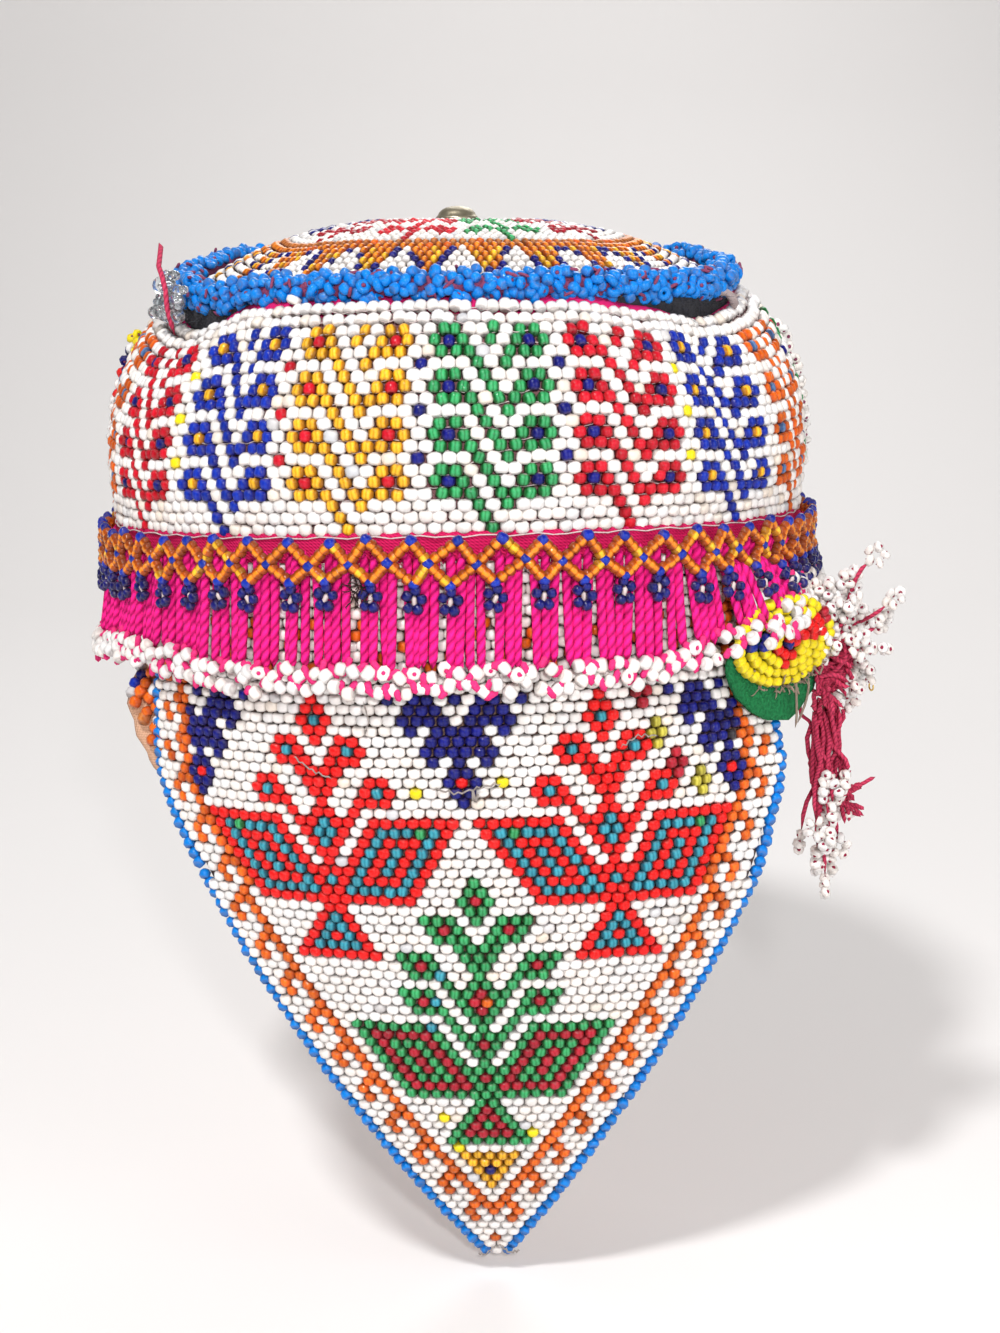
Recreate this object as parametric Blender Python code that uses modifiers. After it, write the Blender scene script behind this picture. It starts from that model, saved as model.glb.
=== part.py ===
"""Beaded hat: a domed crown with a beaded side wall, a net and fringe round its base and a pointed back flap.

Lengths are in metres and Z is up. The flap hangs on the -Y side, and the origin is where the top of a
head meets the inside of the crown. A turn is the angle round the hat, 0 at the flap and growing toward +X.
"""
import math

import bmesh
import bpy
from mathutils import Matrix, Vector

GAP = 0.0003

# Crown disc and button
CROWN_THICKNESS = 0.0026
CROWN_DIP = 0.0014
DIP_SHARE = 0.33
DOME_ROUNDNESS = 2.7
BUTTON_RADIUS = 0.0050
BUTTON_HEIGHT = 0.0033

# Rim cord and the felt under it
RIM_CENTRE_RADIUS = 0.0655
RIM_CORD_RADIUS = 0.0031
RIM_HIGH = -0.0043
RIM_SLOPE = 0.0110
FELT_THICKNESS = 0.0022
FELT_HEIGHT = 0.0060
FELT_OUTWARD = 0.0017

# Side wall
WALL_THICKNESS = 0.0024
WALL_TOP_OUTWARD = 0.0038
WALL_BULGE = 0.0165
WALL_UNDER_RIM = 0.0042
WALL_TOP_SAG = 0.0040
WALL_BASE = -0.0617
CREASE_DEPTH = 0.0042
BASE_SAG = 0.0042
BASE_TILT = 0.0018

# Cloth band, net and fringe
BAND_HEIGHT = 0.0066
BAND_THICKNESS = 0.0022
FRINGE_THICKNESS = 0.0016
FRINGE_TOP = 0.0046
FRINGE_LENGTH = 0.0300
FRINGE_HEADER = 0.0045
FRINGE_STRIPS = 48
FRINGE_STRIP_SHARE = 0.86
FRINGE_FLARE = 0.0100
NET_THICKNESS = 0.0018
NET_CLEARANCE = 0.0004
NET_BAR = 0.0019
NET_TOP = 0.0019
NET_HEIGHT = 0.0087
NET_DIAMONDS = 60
DROP_LENGTH = 0.0046

# Back flap
FLAP_THICKNESS = 0.0025
FLAP_HALF_WIDTH = 0.0805
FLAP_STRAIGHT = 0.0495
FLAP_LENGTH = 0.1840
FLAP_LEFT_CURVE = 0.1080
FLAP_RIGHT_CURVE = 0.1350
FLAP_CURVE_START = 0.0220
FLAP_CURVE_END = 0.0750
FLAP_TUCK = 0.0370
FLAP_SHORTENING = 0.0350
FLAP_EDGE_BOW = 1.08
FLAP_LEAN = 0.0052
FLAP_SHIFT = 0.0045
FLAP_TIP_WIDTH = 0.0016
EDGING_RADIUS = 0.0014
LINING_THICKNESS = 0.0012
LINING_REACH = 0.0170
LINING_OVERLAP = 0.0100
LINING_TOP = 0.0150
LINING_HEIGHT = 0.0420

# Ornaments
MEDALLION_RADIUS = 0.0150
MEDALLION_HEIGHT_SHARE = 0.66
MEDALLION_THICKNESS = 0.0028
MEDALLION_INSET = 2.0
MEDALLION_FACING = 46.0
MEDALLION_DROP = 0.0920
FELT_DISC_RADIUS = 0.0175
FELT_DISC_HEIGHT_SHARE = 0.74
FELT_DISC_DROP = 0.0048
FELT_DISC_THICKNESS = 0.0016
FELT_DISC_CLEARANCE = 0.0040
TASSEL_BEYOND = 12.1
TASSEL_OUTWARD = 0.0038
TASSEL_DROP = 0.0055
TASSEL_HEAD_RADIUS = 0.0058
TASSEL_LOCK_RADIUS = 0.0048
UPPER_TASSEL_REACH = 0.0360
LOWER_TASSEL_REACH = 0.0430
SPRAY_BEAD_RADIUS = 0.0029
TRIM_RADIUS = 0.0021
TRIM_TURN = 93.0
TRIM_HEIGHT = 0.0340

SEGMENTS = 54

# Turn in degrees, share of the rim's slope by which the rim lies below its highest point
RIM_SAGS = (
    (-180, 0.00), (-120, 0.23), (-90, 0.64), (-60, 1.00), (-30, 0.77), (0, 0.68),
    (30, 0.69), (60, 0.73), (90, 0.45), (120, 0.18), (180, 0.00),
)
# Turn in degrees, share of the sag by which the wall's top edge hangs away from the rim
TOP_SAGS = (
    (-180, 0.0), (-96, 0.1), (-75, 0.8), (-58, 1.0), (-38, 0.2), (-20, 0.0),
    (20, 0.0), (38, 0.6), (52, 1.0), (68, 0.7), (92, 0.1), (180, 0.0),
)
# Share of the wall's height from its top, share of its bulge
WALL_SECTIONS = (
    (0.00, 0.00), (0.05, 0.25), (0.14, 0.50), (0.28, 0.74), (0.48, 0.94), (0.74, 1.00), (1.00, 0.93),
)
# Turn in degrees, half width in degrees, share of the depth, share of the height that it reaches
CREASES = (
    (-39, 8, 1.0, 0.80), (47, 8, 1.0, 0.75), (128, 10, 0.4, 0.70), (-132, 10, 0.4, 0.70),
)
# Turn in degrees, share of the flare of the fringe's lower end
FLARES = (
    (-180, 0.20), (-100, 0.30), (-80, 0.35), (-40, 0.15), (30, 0.15), (55, 0.75), (75, 1.00),
    (95, 0.90), (125, 0.30), (180, 0.20),
)
# Turn in degrees, share of the fringe's length
LENGTHS = (
    (-180, 0.95), (-90, 1.00), (30, 1.00), (34, 0.84), (40, 0.44), (100, 0.50), (130, 0.90), (180, 0.95),
)
# Sideways, upward and outward share of the reach for each lock of a tassel
UPPER_LOCKS = (
    (0.05, 0.99, 0.12), (0.32, 0.66, 0.20), (0.50, 0.16, 0.22), (0.52, -0.36, 0.20), (-0.30, 0.50, 0.12),
)
LOWER_LOCKS = (
    (0.02, -0.98, 0.05), (0.16, -0.80, 0.14), (-0.14, -0.62, 0.04),
)
# Turn in degrees from the first bead, height and outward step in bead radii for each bead of the spray
SPRAY_BEADS = (
    (0.0, 0.0, -0.1), (2.2, -1.1, 0.2), (4.0, 0.1, 0.0), (6.0, -1.2, 0.2), (1.8, 1.1, 0.1), (-1.8, -1.0, 0.2),
    (7.8, 0.0, 0.0), (5.8, 1.1, 0.1), (10.0, -1.2, 0.2), (11.8, 0.0, 0.1),
)
SPRAY_TURN = -70.0


def remove_objects():
    for thing in list(bpy.data.objects):
        bpy.data.objects.remove(thing, do_unlink=True)


def new_collection(name):
    group = bpy.data.collections.new(name)
    bpy.context.scene.collection.children.link(group)
    return group


remove_objects()
PARTS = new_collection("beaded_hat")
GUIDES = new_collection("beaded_hat_guides")


def material(name, colour, roughness, metallic=0.0):
    made = bpy.data.materials.new(name)
    made.use_nodes = True
    shader = made.node_tree.nodes["Principled BSDF"]
    shader.inputs["Base Color"].default_value = (*colour, 1.0)
    shader.inputs["Roughness"].default_value = roughness
    shader.inputs["Metallic"].default_value = metallic
    return made


def add_object(name, data, surface, group=None):
    thing = bpy.data.objects.new(name, data)
    (group or PARTS).objects.link(thing)
    if surface:
        data.materials.append(surface)
    return thing


def add_guide(name, data):
    guide = add_object(name, data, None, GUIDES)
    guide.hide_render = True
    guide.display_type = "WIRE"
    return guide


def mesh_from(form, name):
    data = bpy.data.meshes.new(name)
    form.to_mesh(data)
    form.free()
    data.shade_smooth()
    data.set_sharp_from_angle(angle=math.radians(40))
    return data


def thicken(thing, thickness):
    """Walls grow inward from the sheet, which is the outer face."""
    wall = thing.modifiers.new("wall", "SOLIDIFY")
    wall.thickness = thickness
    wall.offset = -1.0
    return wall


def fuse(thing, guide):
    union = thing.modifiers.new("fuse", "BOOLEAN")
    union.operation = "UNION"
    union.solver = "EXACT"
    union.use_self = True
    union.object = guide
    return union


def eased(table, place):
    """Value of a table of (place, value) rows, eased between rows."""
    for (low, first), (high, second) in zip(table, table[1:]):
        if place <= high:
            share = max(0.0, min(1.0, (place - low) / (high - low)))
            return first + (second - first) * (3 - 2 * share) * share * share
    return table[-1][1]


def straight(table, place):
    """Value of a table of (place, value) rows, on straight lines between rows."""
    for (low, first), (high, second) in zip(table, table[1:]):
        if place <= high:
            return first + (second - first) * max(0.0, (place - low) / (high - low))
    return table[-1][1]


def around(radius, turn, height):
    return Vector((radius * math.sin(turn), -radius * math.cos(turn), height))


def wrapped(turn):
    """Turn in degrees between -180 and 180."""
    return (math.degrees(turn) + 180.0) % 360.0 - 180.0


def rim_height(turn):
    return RIM_HIGH - RIM_SLOPE * eased(RIM_SAGS, wrapped(turn))


def base_drop(turn):
    return BASE_SAG * math.sin(turn) ** 2 - BASE_TILT * math.sin(turn)


def wall_top(turn):
    return rim_height(turn) - WALL_UNDER_RIM - WALL_TOP_SAG * eased(TOP_SAGS, wrapped(turn))


def dome_radius():
    return RIM_CENTRE_RADIUS - RIM_CORD_RADIUS - GAP


def crown_height(turn, share):
    """Height of the crown's outer face, which the button's thread pulls down at the middle."""
    top = CROWN_THICKNESS + CROWN_DIP
    dip = CROWN_DIP * max(0.0, 1 - share / DIP_SHARE)
    return top - (top - rim_height(turn)) * share ** DOME_ROUNDNESS - dip


def wall_radius(turn, share):
    dent = 0.0
    for centre, half_width, depth, reach in CREASES:
        away = (wrapped(turn) - centre) / half_width
        along = max(0.0, 1 - (share / reach) ** 2) * min(1, 5 * share)
        dent += CREASE_DEPTH * depth * math.exp(-away * away) * along
    top_radius = RIM_CENTRE_RADIUS + WALL_TOP_OUTWARD
    return top_radius + WALL_BULGE * straight(WALL_SECTIONS, share) - dent


def base_radius(turn):
    return wall_radius(turn, 1.0)


def ring_form(rings, segments, capped=False):
    """Rings of a unit cylinder, one apart in Z, as a sheet that a shaping function then places."""
    form = bmesh.new()
    bmesh.ops.create_circle(form, cap_ends=capped, cap_tris=capped, radius=1.0, segments=segments)
    edges = [edge for edge in form.edges if all(vert.co.length > 0.5 for vert in edge.verts)]
    for _ in range(rings - 1):
        grown = bmesh.ops.extrude_edge_only(form, edges=edges)["geom"]
        verts = [item for item in grown if isinstance(item, bmesh.types.BMVert)]
        edges = [item for item in grown if isinstance(item, bmesh.types.BMEdge)]
        bmesh.ops.translate(form, verts=verts, vec=(0, 0, 1))
    return form


def shape(form, place):
    """Moves each vertex of a unit form to place(turn, ring), with the faces out from the Z axis or up."""
    for vert in form.verts:
        turn = math.atan2(vert.co.x, -vert.co.y)
        at_axis = vert.co.xy.length < 0.5
        vert.co = place(turn, vert.co.z, at_axis)
    form.normal_update()
    middle = Vector((0, 0, FLAP_HALF_WIDTH))
    outward = sum(face.normal.dot(face.calc_center_median() + middle) for face in form.faces)
    if outward < 0:
        bmesh.ops.reverse_faces(form, faces=form.faces)


def make_crown_top():
    rings = 4
    form = ring_form(rings, SEGMENTS, capped=True)

    def place(turn, ring, at_axis):
        share = 0.0 if at_axis else ((ring + 1) / rings) ** 0.8
        return around(dome_radius() * share, turn, crown_height(turn, share))

    shape(form, place)
    weave = material("bead_weave", (0.86, 0.83, 0.78), 0.3)
    top = add_object("crown_top", mesh_from(form, "crown_top"), weave)
    thicken(top, CROWN_THICKNESS)


def make_button():
    profile = bmesh.new()
    foot = crown_height(0.0, BUTTON_RADIUS / dome_radius()) + GAP
    outline = (
        (0.0, 1.0), (0.62, 1.0), (0.74, 0.86), (0.92, 0.42), (1.0, 0.30), (1.0, 0.0), (0.0, 0.0),
    )
    verts = [profile.verts.new((BUTTON_RADIUS * out, 0, foot + BUTTON_HEIGHT * up)) for out, up in outline]
    for first, second in zip(verts, verts[1:]):
        profile.edges.new((first, second))
    data = bpy.data.meshes.new("crown_button")
    profile.to_mesh(data)
    profile.free()
    button = add_object("crown_button", data, material("old_brass", (0.52, 0.47, 0.36), 0.35, 1.0))
    turned = button.modifiers.new("turned", "SCREW")
    turned.steps = 16
    turned.render_steps = 16
    turned.use_merge_vertices = True
    turned.merge_threshold = 0.0001
    turned.use_smooth_shade = True


def make_tube(name, points, radius, surface, cyclic=False, sides=2):
    data = bpy.data.curves.new(name, "CURVE")
    data.dimensions = "3D"
    data.bevel_depth = radius
    data.bevel_resolution = sides
    data.use_fill_caps = not cyclic
    line = data.splines.new("POLY")
    line.points.add(len(points) - 1)
    for target, point in zip(line.points, points):
        target.co = (*point, 1.0)
    line.use_cyclic_u = cyclic
    return add_object(name, data, surface)


def make_rim_cord():
    steps = 40
    turns = [2 * math.pi * step / steps for step in range(steps)]
    points = [around(RIM_CENTRE_RADIUS, turn, rim_height(turn)) for turn in turns]
    azure = material("azure_beads", (0.05, 0.35, 0.85), 0.25)
    make_tube("rim_cord", points, RIM_CORD_RADIUS, azure, cyclic=True, sides=1)


def make_rim_felt():
    form = ring_form(2, SEGMENTS)

    def place(turn, ring, at_axis):
        top = rim_height(turn) - RIM_CORD_RADIUS - GAP
        return around(RIM_CENTRE_RADIUS + FELT_OUTWARD, turn, top - FELT_HEIGHT * ring)

    shape(form, place)
    dark = material("dark_felt", (0.03, 0.03, 0.04), 0.95)
    felt = add_object("rim_felt", mesh_from(form, "rim_felt"), dark)
    thicken(felt, FELT_THICKNESS)


def wall_point(turn, share, outward=0.0):
    top = wall_top(turn)
    base = WALL_BASE - base_drop(turn)
    return around(wall_radius(turn, share) + outward, turn, top + (base - top) * share)


def make_crown_wall():
    shares = (0.0, 0.05, 0.14, 0.28, 0.48, 0.74, 1.0)
    form = ring_form(len(shares), SEGMENTS)
    shape(form, lambda turn, ring, at_axis: wall_point(turn, shares[round(ring)]))
    surface = material("wall_beads", (0.88, 0.85, 0.80), 0.3)
    wall = add_object("crown_wall", mesh_from(form, "crown_wall"), surface)
    thicken(wall, WALL_THICKNESS)


def band_point(turn, below_wall, outward=0.0):
    """A point below the wall's base, on the line of the cloth band's outer face or outward of it."""
    return around(base_radius(turn) + outward, turn, WALL_BASE - base_drop(turn) - below_wall)


def make_head_band():
    form = ring_form(2, SEGMENTS)
    shape(form, lambda turn, ring, at_axis: band_point(turn, GAP + (BAND_HEIGHT - GAP) * ring))
    cloth = material("pink_cloth", (0.80, 0.05, 0.30), 0.85)
    band = add_object("head_band", mesh_from(form, "head_band"), cloth)
    thicken(band, BAND_THICKNESS)


def fringe_outward():
    return GAP + FRINGE_THICKNESS


def fringe_flare(turn, down):
    share = max(0.0, (down - FRINGE_HEADER) / (FRINGE_LENGTH - FRINGE_HEADER))
    return FRINGE_FLARE * eased(FLARES, wrapped(turn)) * share ** 1.4


def fringe_point(turn, down):
    """A point on the fringe's outer face, down from its own top edge."""
    return band_point(turn, FRINGE_TOP + down, fringe_outward() + fringe_flare(turn, down))


def make_fringe():
    shares = (0.0, 0.45, 1.0)
    form = ring_form(1 + len(shares), 2 * FRINGE_STRIPS)
    half_step = math.pi / FRINGE_STRIPS

    def column(turn):
        return math.floor((math.atan2(turn.x, -turn.y) % (2 * math.pi)) / half_step)

    gaps = []
    for face in form.faces:
        centre = face.calc_center_median()
        if column(centre) % 2 and centre.z > 1:
            gaps.append(face)
    bmesh.ops.delete(form, geom=gaps, context="FACES")

    def place(turn, ring, at_axis):
        index = round((turn % (2 * math.pi)) / half_step)
        widened = (index + (2 * FRINGE_STRIP_SHARE - 1 if index % 2 else 0.0)) * half_step
        if ring < 0.5:
            return fringe_point(widened, 0.0)
        strip = (index - index % 2 + 0.5) * half_step
        length = FRINGE_LENGTH * eased(LENGTHS, wrapped(strip)) - FRINGE_HEADER
        return fringe_point(widened, FRINGE_HEADER + length * shares[round(ring) - 1])

    shape(form, place)
    cords = material("pink_cord", (0.93, 0.04, 0.38), 0.8)
    fringe = add_object("cord_fringe", mesh_from(form, "cord_fringe"), cords)
    thicken(fringe, FRINGE_THICKNESS)


def net_point(turn, below_wall, inward=0.0):
    """A point on the net's outer face, which lies on the fringe."""
    outward = fringe_outward() + NET_CLEARANCE + NET_THICKNESS - inward
    return band_point(turn, below_wall, outward + fringe_flare(turn, below_wall - FRINGE_TOP))


def make_net():
    """Diamonds between a zigzag of top and bottom corners: their sides are left as bars, with drops below."""
    form = ring_form(2, NET_DIAMONDS)
    uprights = [edge for edge in form.edges if abs(edge.verts[0].co.z - edge.verts[1].co.z) > 0.5]
    bmesh.ops.poke(form, faces=form.faces)
    for vert in form.verts:
        if abs(vert.co.z - 0.5) < 0.1:
            vert.co.xy = vert.co.xy.normalized()
    bmesh.ops.dissolve_edges(form, edges=uprights)
    ends = [(vert, math.atan2(vert.co.x, -vert.co.y)) for vert in form.verts if vert.co.z > 0.9]
    shape(form, lambda turn, ring, at_axis: net_point(turn, NET_TOP + NET_HEIGHT * ring))
    cells = list(form.faces)
    border = [edge for edge in form.edges if edge.is_boundary]
    bmesh.ops.inset_individual(form, faces=cells, thickness=NET_BAR / 2, use_even_offset=True)
    rails = {face for edge in border for face in edge.link_faces}
    bmesh.ops.delete(form, geom=list(set(cells) | rails), context="FACES")
    lower = [edge for vert, _ in ends for edge in vert.link_edges if edge.is_boundary]
    grown = bmesh.ops.extrude_edge_only(form, edges=lower)["geom"]
    for vert in [item for item in grown if isinstance(item, bmesh.types.BMVert)]:
        for end, turn in ends:
            if (vert.co - end.co).length < GAP:
                vert.co = net_point(turn, NET_TOP + NET_HEIGHT + DROP_LENGTH)
    bmesh.ops.remove_doubles(form, verts=form.verts, dist=GAP / 10)
    amber = material("amber_beads", (0.62, 0.27, 0.03), 0.25)
    net = add_object("bead_net", mesh_from(form, "bead_net"), amber)
    thicken(net, NET_THICKNESS)


def flap_half_width(down):
    taper = min(1.0, max(0.0, (down - FLAP_STRAIGHT) / (FLAP_LENGTH - FLAP_STRAIGHT)))
    return FLAP_HALF_WIDTH + (FLAP_TIP_WIDTH - FLAP_HALF_WIDTH) * taper ** FLAP_EDGE_BOW


def flap_point(across, down, inward=0.0):
    """A point of the flap from its arc across and its length down, inward of its outer face."""
    share = down / FLAP_LENGTH
    ease = max(0.0, min(1.0, (down - FLAP_CURVE_START) / (FLAP_CURVE_END - FLAP_CURVE_START)))
    start = base_radius(0.0)
    curve = start + ((FLAP_LEFT_CURVE if across < 0 else FLAP_RIGHT_CURVE) - start) * ease
    turn = across / curve
    radius = curve - inward
    lean = FLAP_SHIFT * ease + FLAP_LEAN * max(0.0, share - 0.35) / 0.65
    tuck = FLAP_TUCK * max(0.0, share) ** 2.3
    sag = base_drop(across / start) * (1 - min(1.0, share))
    height = WALL_BASE - BAND_HEIGHT - GAP - down * (1 - FLAP_SHORTENING * share) - sag
    return Vector((lean + radius * math.sin(turn), -start + curve + tuck - radius * math.cos(turn), height))


def sheet_form(columns, rows, place):
    """A grid of unit squares whose vertices go to place(across share, down share), faces toward -Y."""
    form = bmesh.new()
    bmesh.ops.create_grid(form, x_segments=columns, y_segments=rows, size=0.5)
    for vert in form.verts:
        vert.co = place(2 * vert.co.x, 0.5 - vert.co.y)
    form.normal_update()
    if sum(face.normal.y for face in form.faces) > 0:
        bmesh.ops.reverse_faces(form, faces=form.faces)
    return form


def make_flap():
    def place(across, down):
        length = FLAP_LENGTH * down
        return flap_point(across * flap_half_width(length), length)

    form = sheet_form(12, 17, place)
    weave = material("flap_beads", (0.88, 0.84, 0.79), 0.3)
    flap = add_object("back_flap", mesh_from(form, "back_flap"), weave)
    thicken(flap, FLAP_THICKNESS)


def make_edging():
    steps = 18
    out = EDGING_RADIUS + GAP
    top = FRINGE_TOP + FRINGE_LENGTH - BAND_HEIGHT - 3 * EDGING_RADIUS
    side = []
    for step in range(steps + 1):
        down = top + (FLAP_LENGTH - top) * step / steps
        slope = (flap_half_width(down) - flap_half_width(down + GAP)) / GAP
        side.append((flap_half_width(down) + out * math.hypot(1.0, slope), down))
    left = [flap_point(-across, down, FLAP_THICKNESS / 2) for across, down in side]
    right = [flap_point(across, down, FLAP_THICKNESS / 2) for across, down in reversed(side)]
    tip = [flap_point(0.0, FLAP_LENGTH + out * 1.5, FLAP_THICKNESS / 2)]
    blue = material("blue_edge", (0.08, 0.40, 0.88), 0.25)
    make_tube("flap_edging", left + tip + right, EDGING_RADIUS, blue, sides=1)


def make_lining_edge():
    def place(across, down):
        top = FRINGE_TOP + LINING_TOP - BAND_HEIGHT
        length = top + LINING_HEIGHT * down
        outer = FLAP_HALF_WIDTH + LINING_REACH * (1 - 0.96 * down ** 1.5)
        inner = FLAP_HALF_WIDTH - LINING_OVERLAP
        share = (across + 1) / 2
        return flap_point(-(inner + (outer - inner) * share), length, 2 * EDGING_RADIUS + GAP)

    form = sheet_form(3, 7, place)
    surface = material("peach_lining", (0.85, 0.55, 0.38), 0.9)
    lining = add_object("lining_edge", mesh_from(form, "lining_edge"), surface)
    thicken(lining, LINING_THICKNESS)


def make_disc(name, radius, height_share, thickness, place, surface):
    """A flat oval disc whose back lies at a place, facing the medallion's way, with its edge rounded over."""
    data = bpy.data.curves.new(name, "CURVE")
    data.dimensions = "2D"
    data.fill_mode = "BOTH"
    data.bevel_depth = 0.3 * thickness
    data.bevel_resolution = 0
    data.extrude = thickness / 2 - data.bevel_depth
    data.offset = -data.bevel_depth
    outline = data.splines.new("POLY")
    corners = 20
    outline.points.add(corners - 1)
    for index, target in enumerate(outline.points):
        angle = 2 * math.pi * index / corners
        target.co = (radius * math.cos(angle), height_share * radius * math.sin(angle), 0.0, 1.0)
    outline.use_cyclic_u = True
    disc = add_object(name, data, surface)
    facing = math.radians(MEDALLION_FACING)
    disc.location = place + around(thickness / 2, facing, 0.0)
    disc.rotation_euler = (math.radians(90), 0.0, facing)
    return disc


def flap_edge_turn(beyond):
    """Turn of the flap's straight edge at the band, with a number of degrees beyond it."""
    return FLAP_HALF_WIDTH / base_radius(0.0) + math.radians(beyond)


def medallion_seat():
    """Distance from the axis at which the felt clears the flap beside it."""
    beside = MEDALLION_DROP + FELT_DISC_DROP + WALL_BASE - BAND_HEIGHT
    return flap_point(FLAP_HALF_WIDTH, beside).xy.length + FELT_DISC_CLEARANCE


def make_medallion():
    green = material("green_felt", (0.02, 0.22, 0.08), 0.95)
    yellow = material("yellow_beads", (0.95, 0.80, 0.03), 0.3)
    back = around(medallion_seat(), flap_edge_turn(-MEDALLION_INSET), -MEDALLION_DROP)
    low = back - Vector((0, 0, FELT_DISC_DROP))
    make_disc("medallion_felt", FELT_DISC_RADIUS, FELT_DISC_HEIGHT_SHARE, FELT_DISC_THICKNESS, low, green)
    front = back + around(FELT_DISC_THICKNESS + GAP, math.radians(MEDALLION_FACING), 0.0)
    make_disc("medallion_beads", MEDALLION_RADIUS, MEDALLION_HEIGHT_SHARE, MEDALLION_THICKNESS, front, yellow)


def make_tassel(name, head, locks, reach, surface):
    """Tapered locks that spread from a round head, fused to it."""
    turn = flap_edge_turn(TASSEL_BEYOND)
    sideways = Vector((math.cos(turn), math.sin(turn), 0.0))
    outward = Vector((math.sin(turn), -math.cos(turn), 0.0))
    core = bmesh.new()
    at_head = Matrix.Translation(head)
    bmesh.ops.create_icosphere(core, subdivisions=2, radius=TASSEL_HEAD_RADIUS, matrix=at_head)
    tassel = add_object(name, mesh_from(core, name), surface)
    bunch = bmesh.new()
    for side, up, out in locks:
        along = sideways * side + outward * out + Vector((0, 0, up))
        length = reach * along.length
        turned = along.to_track_quat("Z", "Y").to_matrix().to_4x4()
        place = Matrix.Translation(head + along.normalized() * length / 2) @ turned
        bmesh.ops.create_cone(
            bunch, cap_ends=True, segments=7, radius1=0.6 * TASSEL_LOCK_RADIUS,
            radius2=TASSEL_LOCK_RADIUS, depth=length, matrix=place)
    bmesh.ops.recalc_face_normals(bunch, faces=bunch.faces)
    fuse(tassel, add_guide(name + "_locks", mesh_from(bunch, name + "_locks")))


def make_tassels():
    turn = flap_edge_turn(TASSEL_BEYOND)
    surface = material("crimson_thread", (0.55, 0.03, 0.10), 0.8)
    outward = medallion_seat() + TASSEL_OUTWARD
    upper = around(outward, turn, -MEDALLION_DROP - TASSEL_DROP)
    lower = upper - Vector((0, 0, 2 * TASSEL_HEAD_RADIUS + GAP))
    make_tassel("tassel_upper", upper, UPPER_LOCKS, UPPER_TASSEL_REACH, surface)
    make_tassel("tassel_lower", lower, LOWER_LOCKS, LOWER_TASSEL_REACH, surface)


def make_glass_spray():
    core = None
    bunch = bmesh.new()
    start = math.radians(SPRAY_TURN)
    height = rim_height(start) - 0.3 * RIM_CORD_RADIUS
    radius = RIM_CENTRE_RADIUS + RIM_CORD_RADIUS + SPRAY_BEAD_RADIUS + GAP
    for step, up, out in SPRAY_BEADS:
        away = radius + out * SPRAY_BEAD_RADIUS
        centre = around(away, start + math.radians(step), height + up * SPRAY_BEAD_RADIUS)
        target = bunch
        if core is None:
            core = bmesh.new()
            target = core
        bmesh.ops.create_icosphere(
            target, subdivisions=1, radius=1.15 * SPRAY_BEAD_RADIUS, matrix=Matrix.Translation(centre))
    clear = material("clear_glass", (0.85, 0.87, 0.88), 0.08)
    spray = add_object("glass_bead_spray", mesh_from(core, "glass_bead_spray"), clear)
    fuse(spray, add_guide("spray_beads", mesh_from(bunch, "spray_beads")))


def make_side_trims():
    surface = material("white_loops", (0.88, 0.84, 0.82), 0.3)
    for name, side in (("side_trim_left", -1), ("side_trim_right", 1)):
        turn = side * math.radians(TRIM_TURN)
        steps = 7
        top = 0.18
        points = []
        for step in range(steps + 1):
            share = top + step / steps * TRIM_HEIGHT / (wall_top(turn) - WALL_BASE)
            points.append(wall_point(turn, share, TRIM_RADIUS + 2 * GAP))
        make_tube(name, points, TRIM_RADIUS, surface, sides=1)


make_crown_top()
make_button()
make_rim_cord()
make_rim_felt()
make_crown_wall()
make_head_band()
make_fringe()
make_net()
make_flap()
make_edging()
make_lining_edge()
make_medallion()
make_tassels()
make_glass_spray()
make_side_trims()
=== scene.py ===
import math
import random

import bmesh
import bpy
from mathutils import Matrix, Vector


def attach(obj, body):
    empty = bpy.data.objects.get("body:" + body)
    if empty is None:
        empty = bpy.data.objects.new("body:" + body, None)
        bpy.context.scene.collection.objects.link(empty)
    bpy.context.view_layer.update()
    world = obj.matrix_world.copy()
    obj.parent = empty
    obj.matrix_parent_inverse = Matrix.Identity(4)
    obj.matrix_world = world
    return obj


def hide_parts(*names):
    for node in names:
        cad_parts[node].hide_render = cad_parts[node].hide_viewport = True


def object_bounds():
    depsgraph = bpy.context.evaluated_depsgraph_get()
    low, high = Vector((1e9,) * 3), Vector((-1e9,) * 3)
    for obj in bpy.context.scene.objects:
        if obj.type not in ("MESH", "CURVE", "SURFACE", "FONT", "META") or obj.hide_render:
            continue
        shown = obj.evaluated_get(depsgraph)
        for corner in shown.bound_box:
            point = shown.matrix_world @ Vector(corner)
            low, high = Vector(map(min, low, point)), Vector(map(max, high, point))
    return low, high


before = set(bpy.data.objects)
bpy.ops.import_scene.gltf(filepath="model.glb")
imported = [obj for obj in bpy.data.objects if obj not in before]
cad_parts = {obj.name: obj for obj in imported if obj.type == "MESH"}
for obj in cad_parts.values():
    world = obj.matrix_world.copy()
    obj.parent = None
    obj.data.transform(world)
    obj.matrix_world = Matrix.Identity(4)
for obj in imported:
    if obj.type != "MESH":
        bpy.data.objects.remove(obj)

cad_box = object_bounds()


# Where the hat is seen from: behind it and a little above its band, the flap toward the
# camera, at the height where a head would hold it.
lens = bpy.data.cameras.new("camera")
lens.lens = 54.0
lens.sensor_width = 36.0
lens.clip_start = 0.02
camera = bpy.data.objects.new("camera", lens)
camera.location = (0.0105, -0.501, -0.0053)
camera.rotation_euler = (math.radians(78.4), 0.0, 0.0)
bpy.context.scene.collection.objects.link(camera)
bpy.context.scene.camera = camera


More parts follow.
